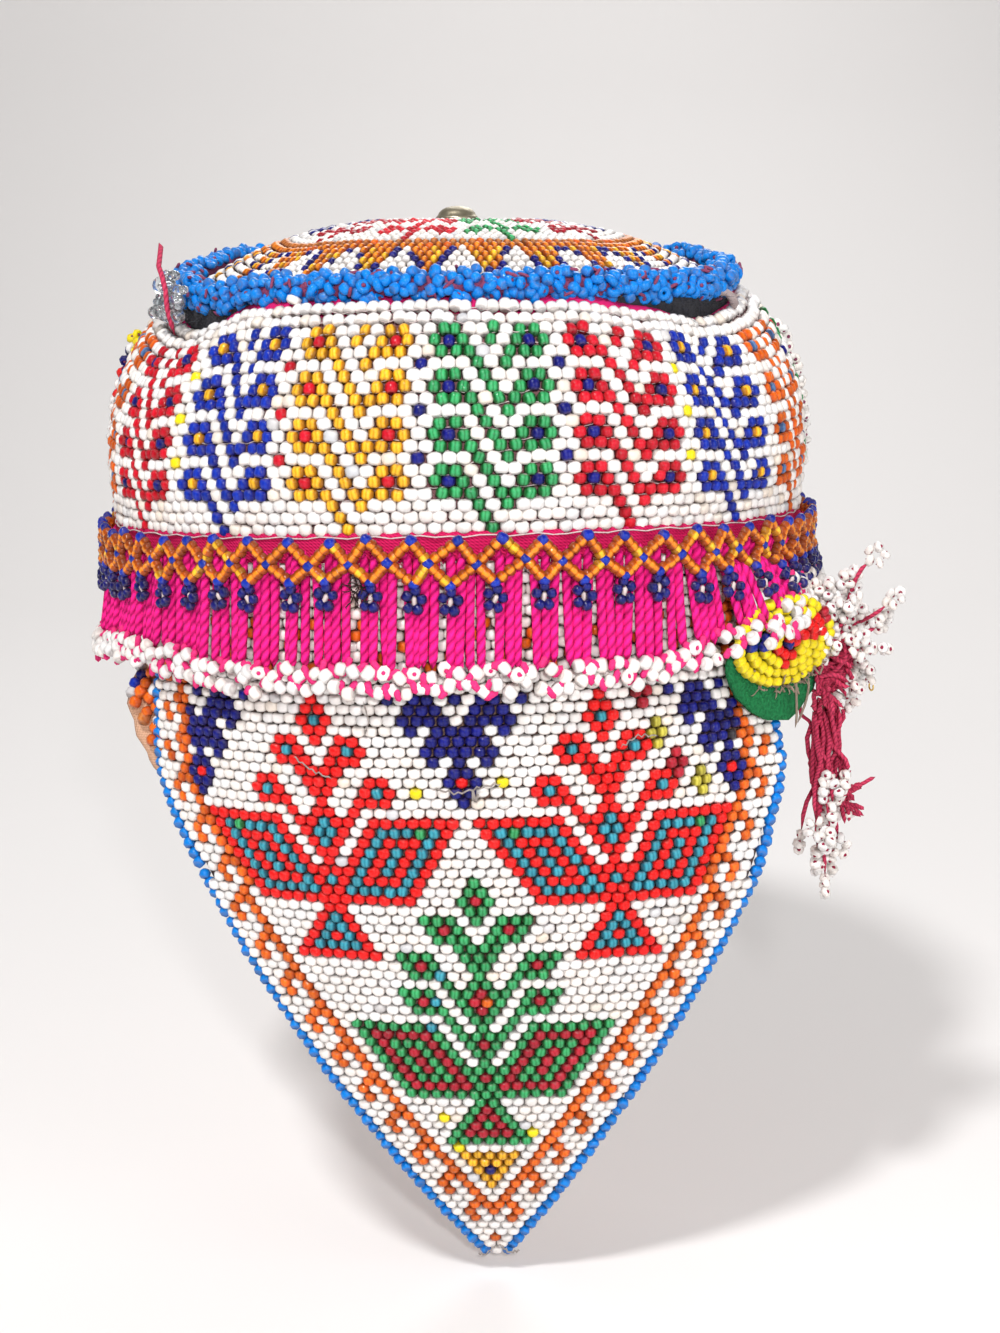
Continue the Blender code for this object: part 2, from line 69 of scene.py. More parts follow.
# Cloth under the beads: cotton lining on the crown and the side wall. The beads are sewn on it, and a pink
# strip of it shows between the blue rim and the first row of wall beads. Where it lies under the
# beads its colour is a dark painted shade, seen in the gaps between them.
GAP = 0.0003
CROWN_THICKNESS = 0.0026
CROWN_DIP = 0.0014
CROWN_DIP_REACH = 0.33
DOME_ROUNDNESS = 2.7
RIM_CENTRE = 0.0655
RIM_CORD = 0.0031
RIM_TOP = -0.0043
RIM_SAG = 0.0110
WALL_BELOW_RIM = 0.0042
WALL_SAG = 0.0040
WALL_TOP_RADIUS = 0.0693
WALL_BULGE = 0.0165
WALL_BASE = -0.0617
BASE_SIDE_DROP = 0.0042
BASE_TILT = 0.0018
CREASE_DEPTH = 0.0042
CREASE_START = 5
LINING_DEPTH = 0.0024
LINING_DROP = 0.0015
LINING_WALL = 0.0007
GLASS_IOR = 1.45
RIM_SAGS = (
    (-180, 0.00), (-120, 0.23), (-90, 0.64), (-60, 1.00), (-30, 0.77), (0, 0.68),
    (30, 0.69), (60, 0.73), (90, 0.45), (120, 0.18), (180, 0.00),
)
TOP_SAGS = (
    (-180, 0.0), (-96, 0.1), (-75, 0.8), (-58, 1.0), (-38, 0.2), (-20, 0.0),
    (20, 0.0), (38, 0.6), (52, 1.0), (68, 0.7), (92, 0.1), (180, 0.0),
)
WALL_SECTIONS = (
    (0.00, 0.13), (0.05, 0.30), (0.14, 0.51), (0.28, 0.74), (0.48, 0.94), (0.74, 1.00), (1.00, 0.93),
)
CREASES = (
    (-39, 8, 1.0, 0.80), (47, 8, 1.0, 0.75), (128, 10, 0.4, 0.70), (-132, 10, 0.4, 0.70),
)


def eased(table, place):
    for (low, first), (high, second) in zip(table, table[1:]):
        if place <= high:
            share = max(0.0, min(1.0, (place - low) / (high - low)))
            return first + (second - first) * (3 - 2 * share) * share * share
    return table[-1][1]


def straight(table, place):
    for (low, first), (high, second) in zip(table, table[1:]):
        if place <= high:
            return first + (second - first) * (place - low) / (high - low)
    return table[-1][1]


def around(radius, turn, height):
    return Vector((radius * math.sin(turn), -radius * math.cos(turn), height))


def ways(turn):
    """Outward and sideways from the hat at a turn, counted from the middle of the back."""
    return around(1.0, turn, 0.0), around(1.0, turn + math.pi / 2, 0.0)


def raised(height):
    return Vector((0.0, 0.0, height))


def wrapped(turn):
    return (math.degrees(turn) + 180.0) % 360.0 - 180.0


def rim_height(turn):
    return RIM_TOP - RIM_SAG * eased(RIM_SAGS, wrapped(turn))


def base_drop(turn):
    return BASE_SIDE_DROP * math.sin(turn) ** 2 - BASE_TILT * math.sin(turn)


def wall_top(turn):
    return rim_height(turn) - WALL_BELOW_RIM - WALL_SAG * eased(TOP_SAGS, wrapped(turn))


def wall_radius(turn, share):
    dent = 0.0
    for centre, half_width, depth, reach in CREASES:
        away = (wrapped(turn) - centre) / half_width
        along = max(0.0, 1 - (max(0.0, share) / reach) ** 2) * min(1, CREASE_START * max(0.0, share))
        dent += CREASE_DEPTH * depth * math.exp(-away * away) * along
    return WALL_TOP_RADIUS + WALL_BULGE * straight(WALL_SECTIONS, share) - dent


def wall_point(turn, share, inward=0.0):
    top = wall_top(turn)
    base = WALL_BASE - base_drop(turn)
    return around(wall_radius(turn, share) - inward, turn, top + (base - top) * share)


def crown_point(turn, share, inward=0.0):
    top = CROWN_THICKNESS + CROWN_DIP
    dip = CROWN_DIP * max(0.0, 1 - share / CROWN_DIP_REACH)
    height = top - (top - rim_height(turn)) * share ** DOME_ROUNDNESS - dip
    return around((RIM_CENTRE - RIM_CORD - GAP) * share, turn, height - inward)


def meshed(name, form, finish):
    """The form as a smooth piece of its own, in one finish."""
    data = bpy.data.meshes.new(name)
    form.to_mesh(data)
    form.free()
    data.shade_smooth()
    piece = bpy.data.objects.new(name, data)
    bpy.context.scene.collection.objects.link(piece)
    if finish:
        data.materials.append(finish)
    return piece


def grown(name, form, finish):
    bmesh.ops.recalc_face_normals(form, faces=form.faces)
    return meshed(name, form, finish)


def belongs(piece, slot, *nodes):
    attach(piece, "root")
    if nodes:
        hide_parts(*nodes)
    return piece


def panel(columns, rows, place, closed=False):
    """A grid with its own UV map, each vertex put at place(across, down), both from 0 to 1."""
    form = bmesh.new()
    form.loops.layers.uv.new("UVMap")
    bmesh.ops.create_grid(form, x_segments=columns, y_segments=rows, size=0.5, calc_uvs=True)
    for vert in form.verts:
        vert.co = place(vert.co.x + 0.5, 0.5 - vert.co.y)
    if closed:
        bmesh.ops.remove_doubles(form, verts=form.verts, dist=0.00002)
    bmesh.ops.recalc_face_normals(form, faces=form.faces)
    return form


def hole_filled(form, touches):
    """Closes the small hole at the middle of a round panel."""
    rim = [edge for edge in form.edges if edge.is_boundary and touches(edge)]
    bmesh.ops.contextual_create(form, geom=rim)


def cloth_piece(name, form, thickness, finish, toward=(0.0, 0.0, -0.05), inside=None):
    """The sheet grows its thickness toward the given point, and may have its own lining there."""
    form.normal_update()
    centre = Vector(toward)
    outward = sum(
        (face.calc_center_median() - centre).dot(face.normal) * face.calc_area() for face in form.faces)
    if outward < 0:
        bmesh.ops.reverse_faces(form, faces=form.faces)
    piece = meshed(name, form, finish)
    wall = piece.modifiers.new("cloth", "SOLIDIFY")
    wall.thickness = thickness
    wall.offset = -1.0
    if inside:
        piece.data.materials.append(inside)
        wall.material_offset = 1
    return piece


class Wires:
    """Places shader nodes and joins them."""

    def __init__(self, tree):
        self.tree = tree

    def add(self, kind, **values):
        node = self.tree.nodes.new(kind)
        for key, value in values.items():
            setattr(node, key, value)
        return node

    def join(self, start, end):
        self.tree.links.new(start, end)

    def feed(self, socket, value):
        """Sets a socket to a number or a colour, or joins it to the socket that is given."""
        if isinstance(value, (int, float)):
            socket.default_value = value
        elif isinstance(value, tuple):
            socket.default_value = (*value, 1.0)
        else:
            self.join(value, socket)

    def sum(self, operation, *values):
        node = self.add("ShaderNodeMath", operation=operation)
        for socket, value in zip(node.inputs, values):
            self.feed(socket, value)
        return node.outputs[0]

    def mix(self, share, first, second):
        node = self.add("ShaderNodeMix", data_type="RGBA")
        for place, value in ((0, share), (6, first), (7, second)):
            self.feed(node.inputs[place], value)
        return node.outputs[2]

    def dimmed(self, colour, level):
        node = self.add("ShaderNodeVectorMath", operation="SCALE")
        self.join(colour, node.inputs[0])
        self.feed(node.inputs["Scale"], level)
        return node.outputs[0]

    def noise(self, scale, detail=2.0):
        own = self.add("ShaderNodeTexCoord")
        node = self.add("ShaderNodeTexNoise")
        self.feed(node.inputs["Scale"], scale)
        self.feed(node.inputs["Detail"], detail)
        self.join(own.outputs["Object"], node.inputs["Vector"])
        return node.outputs[0]

    def across_down(self):
        """Both directions of the piece's own UV map."""
        flat = self.add("ShaderNodeUVMap", uv_map="UVMap")
        parts = self.add("ShaderNodeSeparateXYZ")
        self.join(flat.outputs[0], parts.inputs[0])
        return parts.outputs[0], parts.outputs[1]

    def bump(self, shader, height, distance, strength=1.0):
        rise = self.add("ShaderNodeBump")
        rise.inputs["Distance"].default_value = distance
        rise.inputs["Strength"].default_value = strength
        self.join(height, rise.inputs["Height"])
        self.join(rise.outputs[0], shader.inputs["Normal"])

    def group(self, tree, **values):
        """A group with its own values, an input named Bar Place given as bar_place."""
        node = self.add("ShaderNodeGroup", node_tree=tree)
        for key, value in values.items():
            self.feed(node.inputs[key.replace("_", " ").title()], value)
        return node.outputs


def group_begun(name, given, made):
    """A shader group with its inputs at their usual values and its outputs, still empty."""
    tree = bpy.data.node_groups.new(name, "ShaderNodeTree")
    for label, value in given.items():
        kind = "NodeSocketColor" if isinstance(value, tuple) else "NodeSocketFloat"
        socket = tree.interface.new_socket(name=label, in_out="INPUT", socket_type=kind)
        socket.default_value = (*value, 1.0) if isinstance(value, tuple) else value
    for label, kind in made.items():
        tree.interface.new_socket(name=label, in_out="OUTPUT", socket_type=kind)
    wires = Wires(tree)
    return tree, wires, wires.add("NodeGroupInput").outputs, wires.add("NodeGroupOutput").inputs


def finish_named(name, roughness, coat=0.0, metallic=0.0, specular=0.5):
    made = bpy.data.materials.new(name)
    made.use_nodes = True
    shader = made.node_tree.nodes["Principled BSDF"]
    shader.inputs["Roughness"].default_value = roughness
    shader.inputs["Coat Weight"].default_value = coat
    shader.inputs["Coat Roughness"].default_value = 0.06
    shader.inputs["Metallic"].default_value = metallic
    shader.inputs["Specular IOR Level"].default_value = specular
    return made, shader, Wires(made.node_tree)


def plain_finish(name, roughness, colour, clear=0.0, **more):
    """One even colour, clear like glass by the share that is given."""
    made, shader, _ = finish_named(name, roughness, **more)
    shader.inputs["Base Color"].default_value = (*colour, 1.0)
    if clear:
        shader.inputs["Transmission Weight"].default_value = clear
        shader.inputs["IOR"].default_value = GLASS_IOR
    return made


def woven_group():
    """Over and under of a weave on the UV map, with loose fibre and a little soiling."""
    tree, wires, given, out = group_begun(
        "woven_threads", {"Across": 400.0, "Down": 60.0, "Slant": 0.0},
        {"Height": "NodeSocketFloat", "Soil": "NodeSocketFloat"})
    across, down = wires.across_down()
    wander = wires.sum("MULTIPLY", wires.sum("SUBTRACT", wires.noise(900.0, 3.0), 0.5), 2.4)
    across = wires.sum("MULTIPLY", across, given["Across"])
    down = wires.sum("MULTIPLY", down, given["Down"])
    leaning = wires.sum("ADD", across, wires.sum("MULTIPLY", down, given["Slant"]))
    first = wires.sum("SINE", wires.sum("ADD", wires.sum("MULTIPLY", leaning, math.tau), wander))
    second = wires.sum("SINE", wires.sum("ADD", wires.sum("MULTIPLY", down, math.tau), wander))
    both = wires.sum("ADD", wires.sum("MULTIPLY", first, 0.3), wires.sum("MULTIPLY", second, 0.2))
    wires.join(wires.sum("ADD", both, 0.5), out["Height"])
    wires.join(wires.noise(70.0, 4.0), out["Soil"])
    return tree


WOVEN = woven_group()


def cloth_finish(name, colour, low, across, down, slant=0.0):
    made, shader, wires = finish_named(name, 0.9, specular=0.2)
    weave = wires.group(WOVEN, across=across, down=down, slant=slant)
    tone = wires.mix(weave["Height"], low, colour)
    soiled = wires.mix(wires.sum("MULTIPLY", weave["Soil"], 0.35), tone, low)
    wires.join(soiled, shader.inputs["Base Color"])
    wires.bump(shader, weave["Height"], 0.0002, 0.8)
    return made


def crown_cloth_place(across, down):
    return crown_point(math.tau * across, 0.004 + 1.018 * down, LINING_DEPTH)


# Front of the crown and flap linings: dark brown as painted shade of the gaps between the beads, with some
# soiling.
ground = cloth_finish("ground_cotton_painted_shade", (0.42, 0.27, 0.22), (0.20, 0.11, 0.09), 300, 340)
lining_peach = cloth_finish("lining_cotton_peach", (0.84, 0.60, 0.46), (0.62, 0.40, 0.30), 300, 340)
form = panel(56, 9, crown_cloth_place, closed=True)
hole_filled(form, lambda edge: edge.verts[0].co.xy.length < 0.002)
crown_lining = cloth_piece("crown_lining", form, LINING_WALL, ground, inside=lining_peach)
belongs(crown_lining, "bead_weave")

STRIP_SHARE = 0.12
STRIP_BULGE = 0.0011
STRIP_SHOWS = (
    (-180, 0.4), (-70, 0.2), (-52, 0.7), (-30, 0.6), (-8, 0.25), (8, 0.0), (16, 0.5), (24, 1.0), (42, 0.9),
    (52, 0.2), (180, 0.4),
)


def wall_cloth_place(across, down):
    """The strip that shows below the rim takes the top of the panel, the wall under the beads the rest."""
    turn = math.tau * across
    if down < STRIP_SHARE:
        share = down / STRIP_SHARE
        edge = wall_point(turn, -0.01, LINING_DEPTH)
        low = edge - raised(LINING_DROP)
        high = around(RIM_CENTRE + 0.0004, turn, rim_height(turn) - 0.0012)
        shown, sag = eased(STRIP_SHOWS, wrapped(turn)), eased(TOP_SAGS, wrapped(turn))
        high = high.lerp(edge + raised(0.0010), min(1.0, 1.2 * sag))
        out = STRIP_BULGE * shown * math.sin(math.pi * share) + 0.0003 * math.sin(17 * turn)
        return high.lerp(low, share) + around(out, turn, 0.0004 * shown * math.sin(math.pi * share))
    share = (down - STRIP_SHARE) / (1 - STRIP_SHARE) * 1.04
    return wall_point(turn, share, LINING_DEPTH) - raised(LINING_DROP * max(0.0, 1 - share / 0.20))


wall_pink = cloth_finish("wall_pink_cotton", (0.86, 0.02, 0.20), (0.56, 0.008, 0.11), 900, 90, slant=1.0)
wires = Wires(wall_pink.node_tree)
shader = wall_pink.node_tree.nodes["Principled BSDF"]
hot = shader.inputs["Base Color"].links[0].from_socket
# Below the strip, where the beads cover it, the pink gives way to a dark painted shade that shows in the gaps
# between the beads.
shade_under_beads = wires.sum("LESS_THAN", wires.across_down()[1], 0.875)
wires.join(wires.mix(shade_under_beads, hot, (0.36, 0.17, 0.18)), shader.inputs["Base Color"])
form = panel(112, 17, wall_cloth_place, closed=True)
wall_cloth = cloth_piece("wall_lining", form, LINING_WALL, wall_pink, inside=lining_peach)
belongs(wall_cloth, "wall_beads")


# Glass seed beads: the bodies, the finishes and the way they are strung. White ones are opaque
# china beads, the coloured ones partly clear glass with bright highlight bars painted into their colour.
# Red, green and blue of each bead, and last how strongly painted highlight bars show on it, 0 for the opaque
# beads.
BEAD_COLOURS = {
    "w": (0.84, 0.80, 0.77, 0.0), "c": (0.78, 0.69, 0.60, 0.0), "k": (0.60, 0.59, 0.60, 0.0),
    "r": (0.76, 0.008, 0.008, 0.0), "R": (0.52, 0.003, 0.012, 0.25), "o": (0.66, 0.092, 0.004, 0.3),
    "g": (0.006, 0.15, 0.030, 1.0), "y": (0.62, 0.235, 0.003, 1.0), "n": (0.002, 0.003, 0.120, 0.35),
    "b": (0.002, 0.014, 0.29, 0.3), "s": (0.04, 0.10, 0.26, 0.6), "t": (0.008, 0.15, 0.22, 0.8),
    "d": (0.32, 0.004, 0.012, 0.4), "a": (0.50, 0.080, 0.001, 1.0), "u": (0.002, 0.20, 0.66, 0.0),
    "N": (0.002, 0.003, 0.10, 0.35), "l": (0.85, 0.68, 0.01, 0.0), "q": (0.02, 0.016, 0.02, 0.3),
    "e": (0.34, 0.28, 0.015, 0.8), "x": (0.40, 0.10, 0.015, 0.5),
}
WHITES = "wck"
HOLE = 0.32
chance = random.Random(11)


def barrel(sides=8, levels=5, outline=((1.0, 0.0, 0.60), (0.8, 0.64, 0.96), (0.3, 1.0, 0.46))):
    """A round bead, its hole along Z, its sides closest together where the bead shows, toward Y."""
    form = bmesh.new()
    bmesh.ops.create_uvsphere(form, u_segments=sides, v_segments=levels, radius=1.0)
    for vert in form.verts:
        level, side = abs(vert.co.z), (1 if vert.co.z > 0 else -1)
        angle = math.degrees(math.atan2(vert.co.x, vert.co.y))
        if sides == 8 and abs(angle) < 170:
            angle *= 100.0 / 135.0
        for mark, radius, height in outline:
            if level > mark - 0.1:
                angle = math.radians(angle)
                vert.co = (radius * math.sin(angle), radius * math.cos(angle), side * height)
                break
    return form


def small_barrel():
    return barrel(7, 4, ((1.0, 0.0, 0.62), (0.6, 0.74, 0.88), (0.0, 1.0, 0.0)))


def plug():
    """A bit of thread seen in a bead's hole, or lying between two beads."""
    return barrel(6, 3, ((1.0, 0.0, 1.0), (0.4, 1.0, 0.6)))


def ring_bead(sides=8, section=6, core=0.60, thickness=0.44, tall=0.56):
    """A bead seen by its hole: a small oval turned round Z."""
    form = bmesh.new()
    turned = Matrix.Translation((core, 0.0, 0.0)) @ Matrix.Rotation(math.radians(90), 4, "X")
    bmesh.ops.create_circle(form, segments=section, radius=1.0, matrix=turned)
    for vert in form.verts:
        vert.co = (core + (vert.co.x - core) * thickness, 0.0, vert.co.z * tall)
    bmesh.ops.spin(
        form, geom=form.verts[:] + form.edges[:], cent=(0, 0, 0), axis=(0, 0, 1), angle=math.tau,
        steps=sides, use_merge=True)
    bmesh.ops.recalc_face_normals(form, faces=form.faces)
    return form


def stringer():
    """Sets a bead at each vertex, turned and sized by the vertex's own attributes, as one mesh."""
    tree = bpy.data.node_groups.new("bead_stringer", "GeometryNodeTree")
    tree.interface.new_socket(name="Geometry", in_out="INPUT", socket_type="NodeSocketGeometry")
    tree.interface.new_socket(name="Bead", in_out="INPUT", socket_type="NodeSocketObject")
    tree.interface.new_socket(name="Geometry", in_out="OUTPUT", socket_type="NodeSocketGeometry")
    wires = Wires(tree)
    given = wires.add("NodeGroupInput")
    out = wires.add("NodeGroupOutput")
    bead = wires.add("GeometryNodeObjectInfo")
    turn = wires.add("GeometryNodeInputNamedAttribute", data_type="FLOAT_VECTOR")
    turn.inputs["Name"].default_value = "bead_turn"
    size = wires.add("GeometryNodeInputNamedAttribute", data_type="FLOAT_VECTOR")
    size.inputs["Name"].default_value = "bead_size"
    spin = wires.add("FunctionNodeEulerToRotation")
    setting = wires.add("GeometryNodeInstanceOnPoints")
    whole = wires.add("GeometryNodeRealizeInstances")
    wires.join(given.outputs["Geometry"], setting.inputs["Points"])
    wires.join(given.outputs["Bead"], bead.inputs["Object"])
    wires.join(bead.outputs["Geometry"], setting.inputs["Instance"])
    wires.join(turn.outputs["Attribute"], spin.inputs[0])
    wires.join(spin.outputs[0], setting.inputs["Rotation"])
    wires.join(size.outputs["Attribute"], setting.inputs["Scale"])
    wires.join(setting.outputs[0], whole.inputs[0])
    wires.join(whole.outputs[0], out.inputs[0])
    return tree


STRINGER = stringer()


def shaken(amount):
    """A small chance move, each way by its own amount."""
    return Vector([chance.gauss(0, amount) for _ in range(3)])


def facing(along, outward):
    """Turn that brings Z to the hole's direction and Y to the side that shows."""
    along = along.normalized()
    outward = (outward - along * outward.dot(along)).normalized()
    return Matrix((outward.cross(along), outward, along)).transposed()


def sized(size, tall, wide=1.0):
    """Half sizes of a round bead, its height along the hole given beside its size."""
    return (size * wide, size * wide, size * tall)


def strung(name, form, beads, finish):
    """One mesh of all the beads, each given as place, turn, half sizes, colour letter."""
    bead = meshed(name + "_bead", form, None)
    mark = bead.data.attributes.new("bead_place", "FLOAT_VECTOR", "POINT")
    mark.data.foreach_set("vector", [value for vert in bead.data.vertices for value in vert.co])
    marks = bmesh.new()
    for place, _, _, _ in beads:
        marks.verts.new(place)
    maker = meshed(name + "_maker", marks, None)
    turns, sizes, colours = [], [], []
    for _, turn, size, letter in beads:
        turns.extend(turn.to_euler("XYZ"))
        sizes.extend(size)
        # The fourth number is the share of painted highlight bars, carried in the colour's alpha.
        red, green, blue, glass = BEAD_COLOURS[letter]
        tone = chance.uniform(0.90, 1.06) if glass == 0.0 else chance.uniform(0.70, 1.20)
        warm = chance.uniform(-0.03, 0.03)
        colours.extend((red * tone * (1 + warm), green * tone, blue * tone * (1 - warm), glass))
    for label, values in (("bead_turn", turns), ("bead_size", sizes)):
        maker.data.attributes.new(label, "FLOAT_VECTOR", "POINT").data.foreach_set("vector", values)
    maker.data.attributes.new("bead_colour", "FLOAT_COLOR", "POINT").data.foreach_set("color", colours)
    setting = maker.modifiers.new("beads", "NODES")
    setting.node_group = STRINGER
    socket = next(item.identifier for item in STRINGER.interface.items_tree if item.name == "Bead")
    setting[socket] = bead
    bpy.context.view_layer.update()
    seen = maker.evaluated_get(bpy.context.evaluated_depsgraph_get())
    whole = bpy.data.meshes.new_from_object(seen)
    whole.name = name
    for label in ("bead_turn", "bead_size"):
        if label in whole.attributes:
            whole.attributes.remove(whole.attributes[label])
    bpy.data.objects.remove(maker)
    bpy.data.objects.remove(bead)
    whole.materials.clear()
    whole.materials.append(finish)
    piece = bpy.data.objects.new(name, whole)
    bpy.context.scene.collection.objects.link(piece)
    return piece


def bead_group():
    """Tone of a bead: its own colour, painted highlight bars where it is glass, and painted shade with some
    dirt at its ends and sides.
    """
    tree, wires, given, out = group_begun(
        "bead_tone", {"Bar Place": 0.38, "Bar Width": 0.22, "Glow": 0.8, "Shade": 0.6},
        {"Color": "NodeSocketColor"})
    own = wires.add("ShaderNodeAttribute", attribute_name="bead_colour")
    spot = wires.add("ShaderNodeAttribute", attribute_name="bead_place")
    parts = wires.add("ShaderNodeSeparateXYZ")
    wires.join(spot.outputs["Vector"], parts.inputs[0])
    streak = wires.noise(700.0)
    waver = wires.sum("MULTIPLY", wires.sum("SUBTRACT", streak, 0.5), 0.5)
    # Painted highlight bars: a bright band at Bar Place on each side, wavering a little, over a darker
    # painted Shade.
    side = wires.sum("ABSOLUTE", wires.sum("ADD", parts.outputs[0], waver))
    off = wires.sum("ABSOLUTE", wires.sum("SUBTRACT", side, given["Bar Place"]))
    near = wires.sum("DIVIDE", off, given["Bar Width"])
    highlight_bar = wires.sum("MAXIMUM", wires.sum("SUBTRACT", 1.0, wires.sum("MULTIPLY", near, near)), 0.0)
    level = wires.sum("MULTIPLY_ADD", highlight_bar, given["Glow"], given["Shade"])
    thin = wires.add("ShaderNodeGamma")
    wires.join(own.outputs["Color"], thin.inputs[0])
    wires.join(wires.sum("MULTIPLY_ADD", highlight_bar, -0.36, 1.0), thin.inputs[1])
    # By the alpha, the colour takes the painted highlight bars, lighter and paler in the bars.
    glass_with_painted_bars = wires.mix(own.outputs["Alpha"], own.outputs["Color"], wires.dimmed(thin.outputs[0], level))
    # Painted shade where the bead meets its neighbours, at its hole ends and flanks: darker there, with a
    # little brown dirt tint.
    end = wires.sum("SUBTRACT", wires.sum("ABSOLUTE", parts.outputs[2]), 0.60)
    flank = wires.sum("SUBTRACT", wires.sum("ABSOLUTE", parts.outputs[0]), 0.72)
    meets = wires.sum("MAXIMUM", wires.sum("MAXIMUM", end, flank), 0.0)
    painted_shade_and_dirt = wires.sum("MINIMUM", wires.sum("MULTIPLY", meets, 1.5), 0.5)
    shaded_and_dirty = wires.mix(painted_shade_and_dirt, glass_with_painted_bars, wires.mix(0.35, wires.dimmed(glass_with_painted_bars, 0.42), (0.30, 0.20, 0.18)))
    fleck = wires.sum("MULTIPLY_ADD", streak, 0.24, 0.88)
    wires.join(wires.dimmed(shaded_and_dirty, fleck), out["Color"])
    return tree


BEAD_TONE = bead_group()


def bead_finish(name, roughness, coat, specular, **bars):
    made, shader, wires = finish_named(name, roughness, coat, specular=specular)
    tone = wires.group(BEAD_TONE, **bars)
    wires.join(tone["Color"], shader.inputs["Base Color"])
    return made


china = bead_finish("china_beads", 0.35, 0.3, 0.2)
# The bar settings place and size the painted highlight bars and painted side shade of each glass finish.
clear_colours = bead_finish(
    "coloured_glass_beads", 0.30, 0.32, 0.12, bar_place=0.28, bar_width=0.40, glow=0.62, shade=0.62)
amber_glass = bead_finish(
    "amber_glass_beads", 0.25, 0.4, 0.15, bar_place=0.10, bar_width=0.40, glow=0.65, shade=0.66)


# Crown beads: rings of beads sewn flat on the dome. The outer rings make white stepped points
# with navy edges on amber, then come two brown rings and small branching sprigs on white.
CROWN_RADIUS = RIM_CENTRE - RIM_CORD
CROWN_BEAD = 0.00208
CROWN_RING = 0.00228
CROWN_RINGS = 26
CROWN_POINTS = 24
POINT_WHITES = (0.40, 0.38, 0.34, 0.27, 0.20, 0.135, 0.07)
POINT_EDGE = 0.11
SPRIGS = 10
SPRIG_TURN = 16.0
SPRIG_RING = 9
SPRIG = ("s", "s", "s..ss", "sssss", "s.ss", "s", "s..s", "s.sss", "ssss", ".ss", "s", "s")


def crown_letter(ring, turn, count):
    if ring < len(POINT_WHITES):
        phase = (math.degrees(turn) - 1.8) / (360 / CROWN_POINTS)
        off = abs(phase - round(phase))
        white = POINT_WHITES[ring]
        if off < white:
            return "w"
        return "n" if off < white + POINT_EDGE else ("y" if chance.random() < 0.4 else "a")
    if ring < SPRIG_RING:
        return "o" if chance.random() < 0.12 else ("a" if ring == 7 else "x")
    sprig = round((math.degrees(turn) + SPRIG_TURN) / (360 / SPRIGS))
    away = abs(math.radians(sprig * 360 / SPRIGS - SPRIG_TURN) - turn) * count / math.tau
    if ring < SPRIG_RING + len(SPRIG) and int(away + 0.5) < len(SPRIG[ring - SPRIG_RING]):
        if SPRIG[ring - SPRIG_RING][int(away + 0.5)] == "s":
            return "Rgdnxdgrnd"[sprig % 10]
    if ring >= SPRIG_RING + len(SPRIG):
        return chance.choice("ndxwwq")
    return "w" if chance.random() > 0.04 else "k"


crown_white, crown_colours = [], []
for ring in range(CROWN_RINGS):
    share = 0.972 - ring * CROWN_RING / CROWN_RADIUS
    count = round(math.tau * share * CROWN_RADIUS / CROWN_BEAD)
    if share < 0.05:
        break
    for number in range(count):
        turn = math.tau * (number + (ring % 2) / 2) / count
        place = crown_point(turn, share)
        inner, outer = crown_point(turn, share - 0.02), crown_point(turn, share + 0.02)
        ahead = crown_point(turn + 0.02, share) - crown_point(turn - 0.02, share)
        upward = ahead.cross(inner - outer).normalized()
        upward = upward if upward.z > 0 else -upward
        width = CROWN_BEAD * chance.uniform(0.48, 0.54)
        place = place - upward * (width * 0.70) + shaken(0.00009)
        turned = facing(outer - inner + ahead.normalized() * chance.gauss(0, 0.0002), upward)
        letter = crown_letter(ring, (turn + math.pi) % math.tau - math.pi, count)
        bead = (place, turned, (width, width, CROWN_RING * 0.50), letter)
        (crown_white if letter in WHITES else crown_colours).append(bead)
belongs(strung("crown_white_beads", small_barrel(), crown_white, china), "bead_weave", "crown_top")
# Coloured crown beads get one painted highlight bar down their middle.
crown_glass = bead_finish("crown_glass_beads", 0.28, 0.3, 0.12, bar_place=0.0, bar_width=0.6)
belongs(strung("crown_coloured_beads", small_barrel(), crown_colours, crown_glass), "bead_weave")


# Crown button: a low dome of old brass with a rolled foot, worn and gone grey-green, sewn on
# at the middle of the crown.
BUTTON_PROFILE = (
    (0.0, -0.0001), (0.0046, -0.0001), (0.0051, 0.0002), (0.0052, 0.0007), (0.0049, 0.0011),
    (0.0047, 0.0012), (0.0044, 0.0019), (0.0037, 0.0026), (0.0027, 0.0031), (0.0014, 0.0034), (0.0, 0.0035),
)


def uneven_group():
    """Fine uneven tone between a dark and a light colour, as in wear, felt or loose thread."""
    tree, wires, given, out = group_begun(
        "uneven_tone", {"Scale": 1500.0, "Detail": 2.0, "Dark": (0.0, 0.0, 0.0), "Light": (1.0, 1.0, 1.0)},
        {"Color": "NodeSocketColor", "Height": "NodeSocketFloat"})
    tone = wires.noise(given["Scale"], given["Detail"])
    wires.join(wires.mix(tone, given["Dark"], given["Light"]), out["Color"])
    wires.join(tone, out["Height"])
    return tree


UNEVEN = uneven_group()


def uneven_finish(name, roughness, dark, light, scale, detail=2.0, rise=0.0002, worn=None, **more):
    made, shader, wires = finish_named(name, roughness, **more)
    tone = wires.group(UNEVEN, scale=scale, detail=detail, dark=dark, light=light)
    wires.join(tone["Color"], shader.inputs["Base Color"])
    if worn:
        wires.join(wires.sum("MULTIPLY_ADD", tone["Height"], *worn), shader.inputs["Roughness"])
    if rise:
        wires.bump(shader, tone["Height"], rise)
    return made


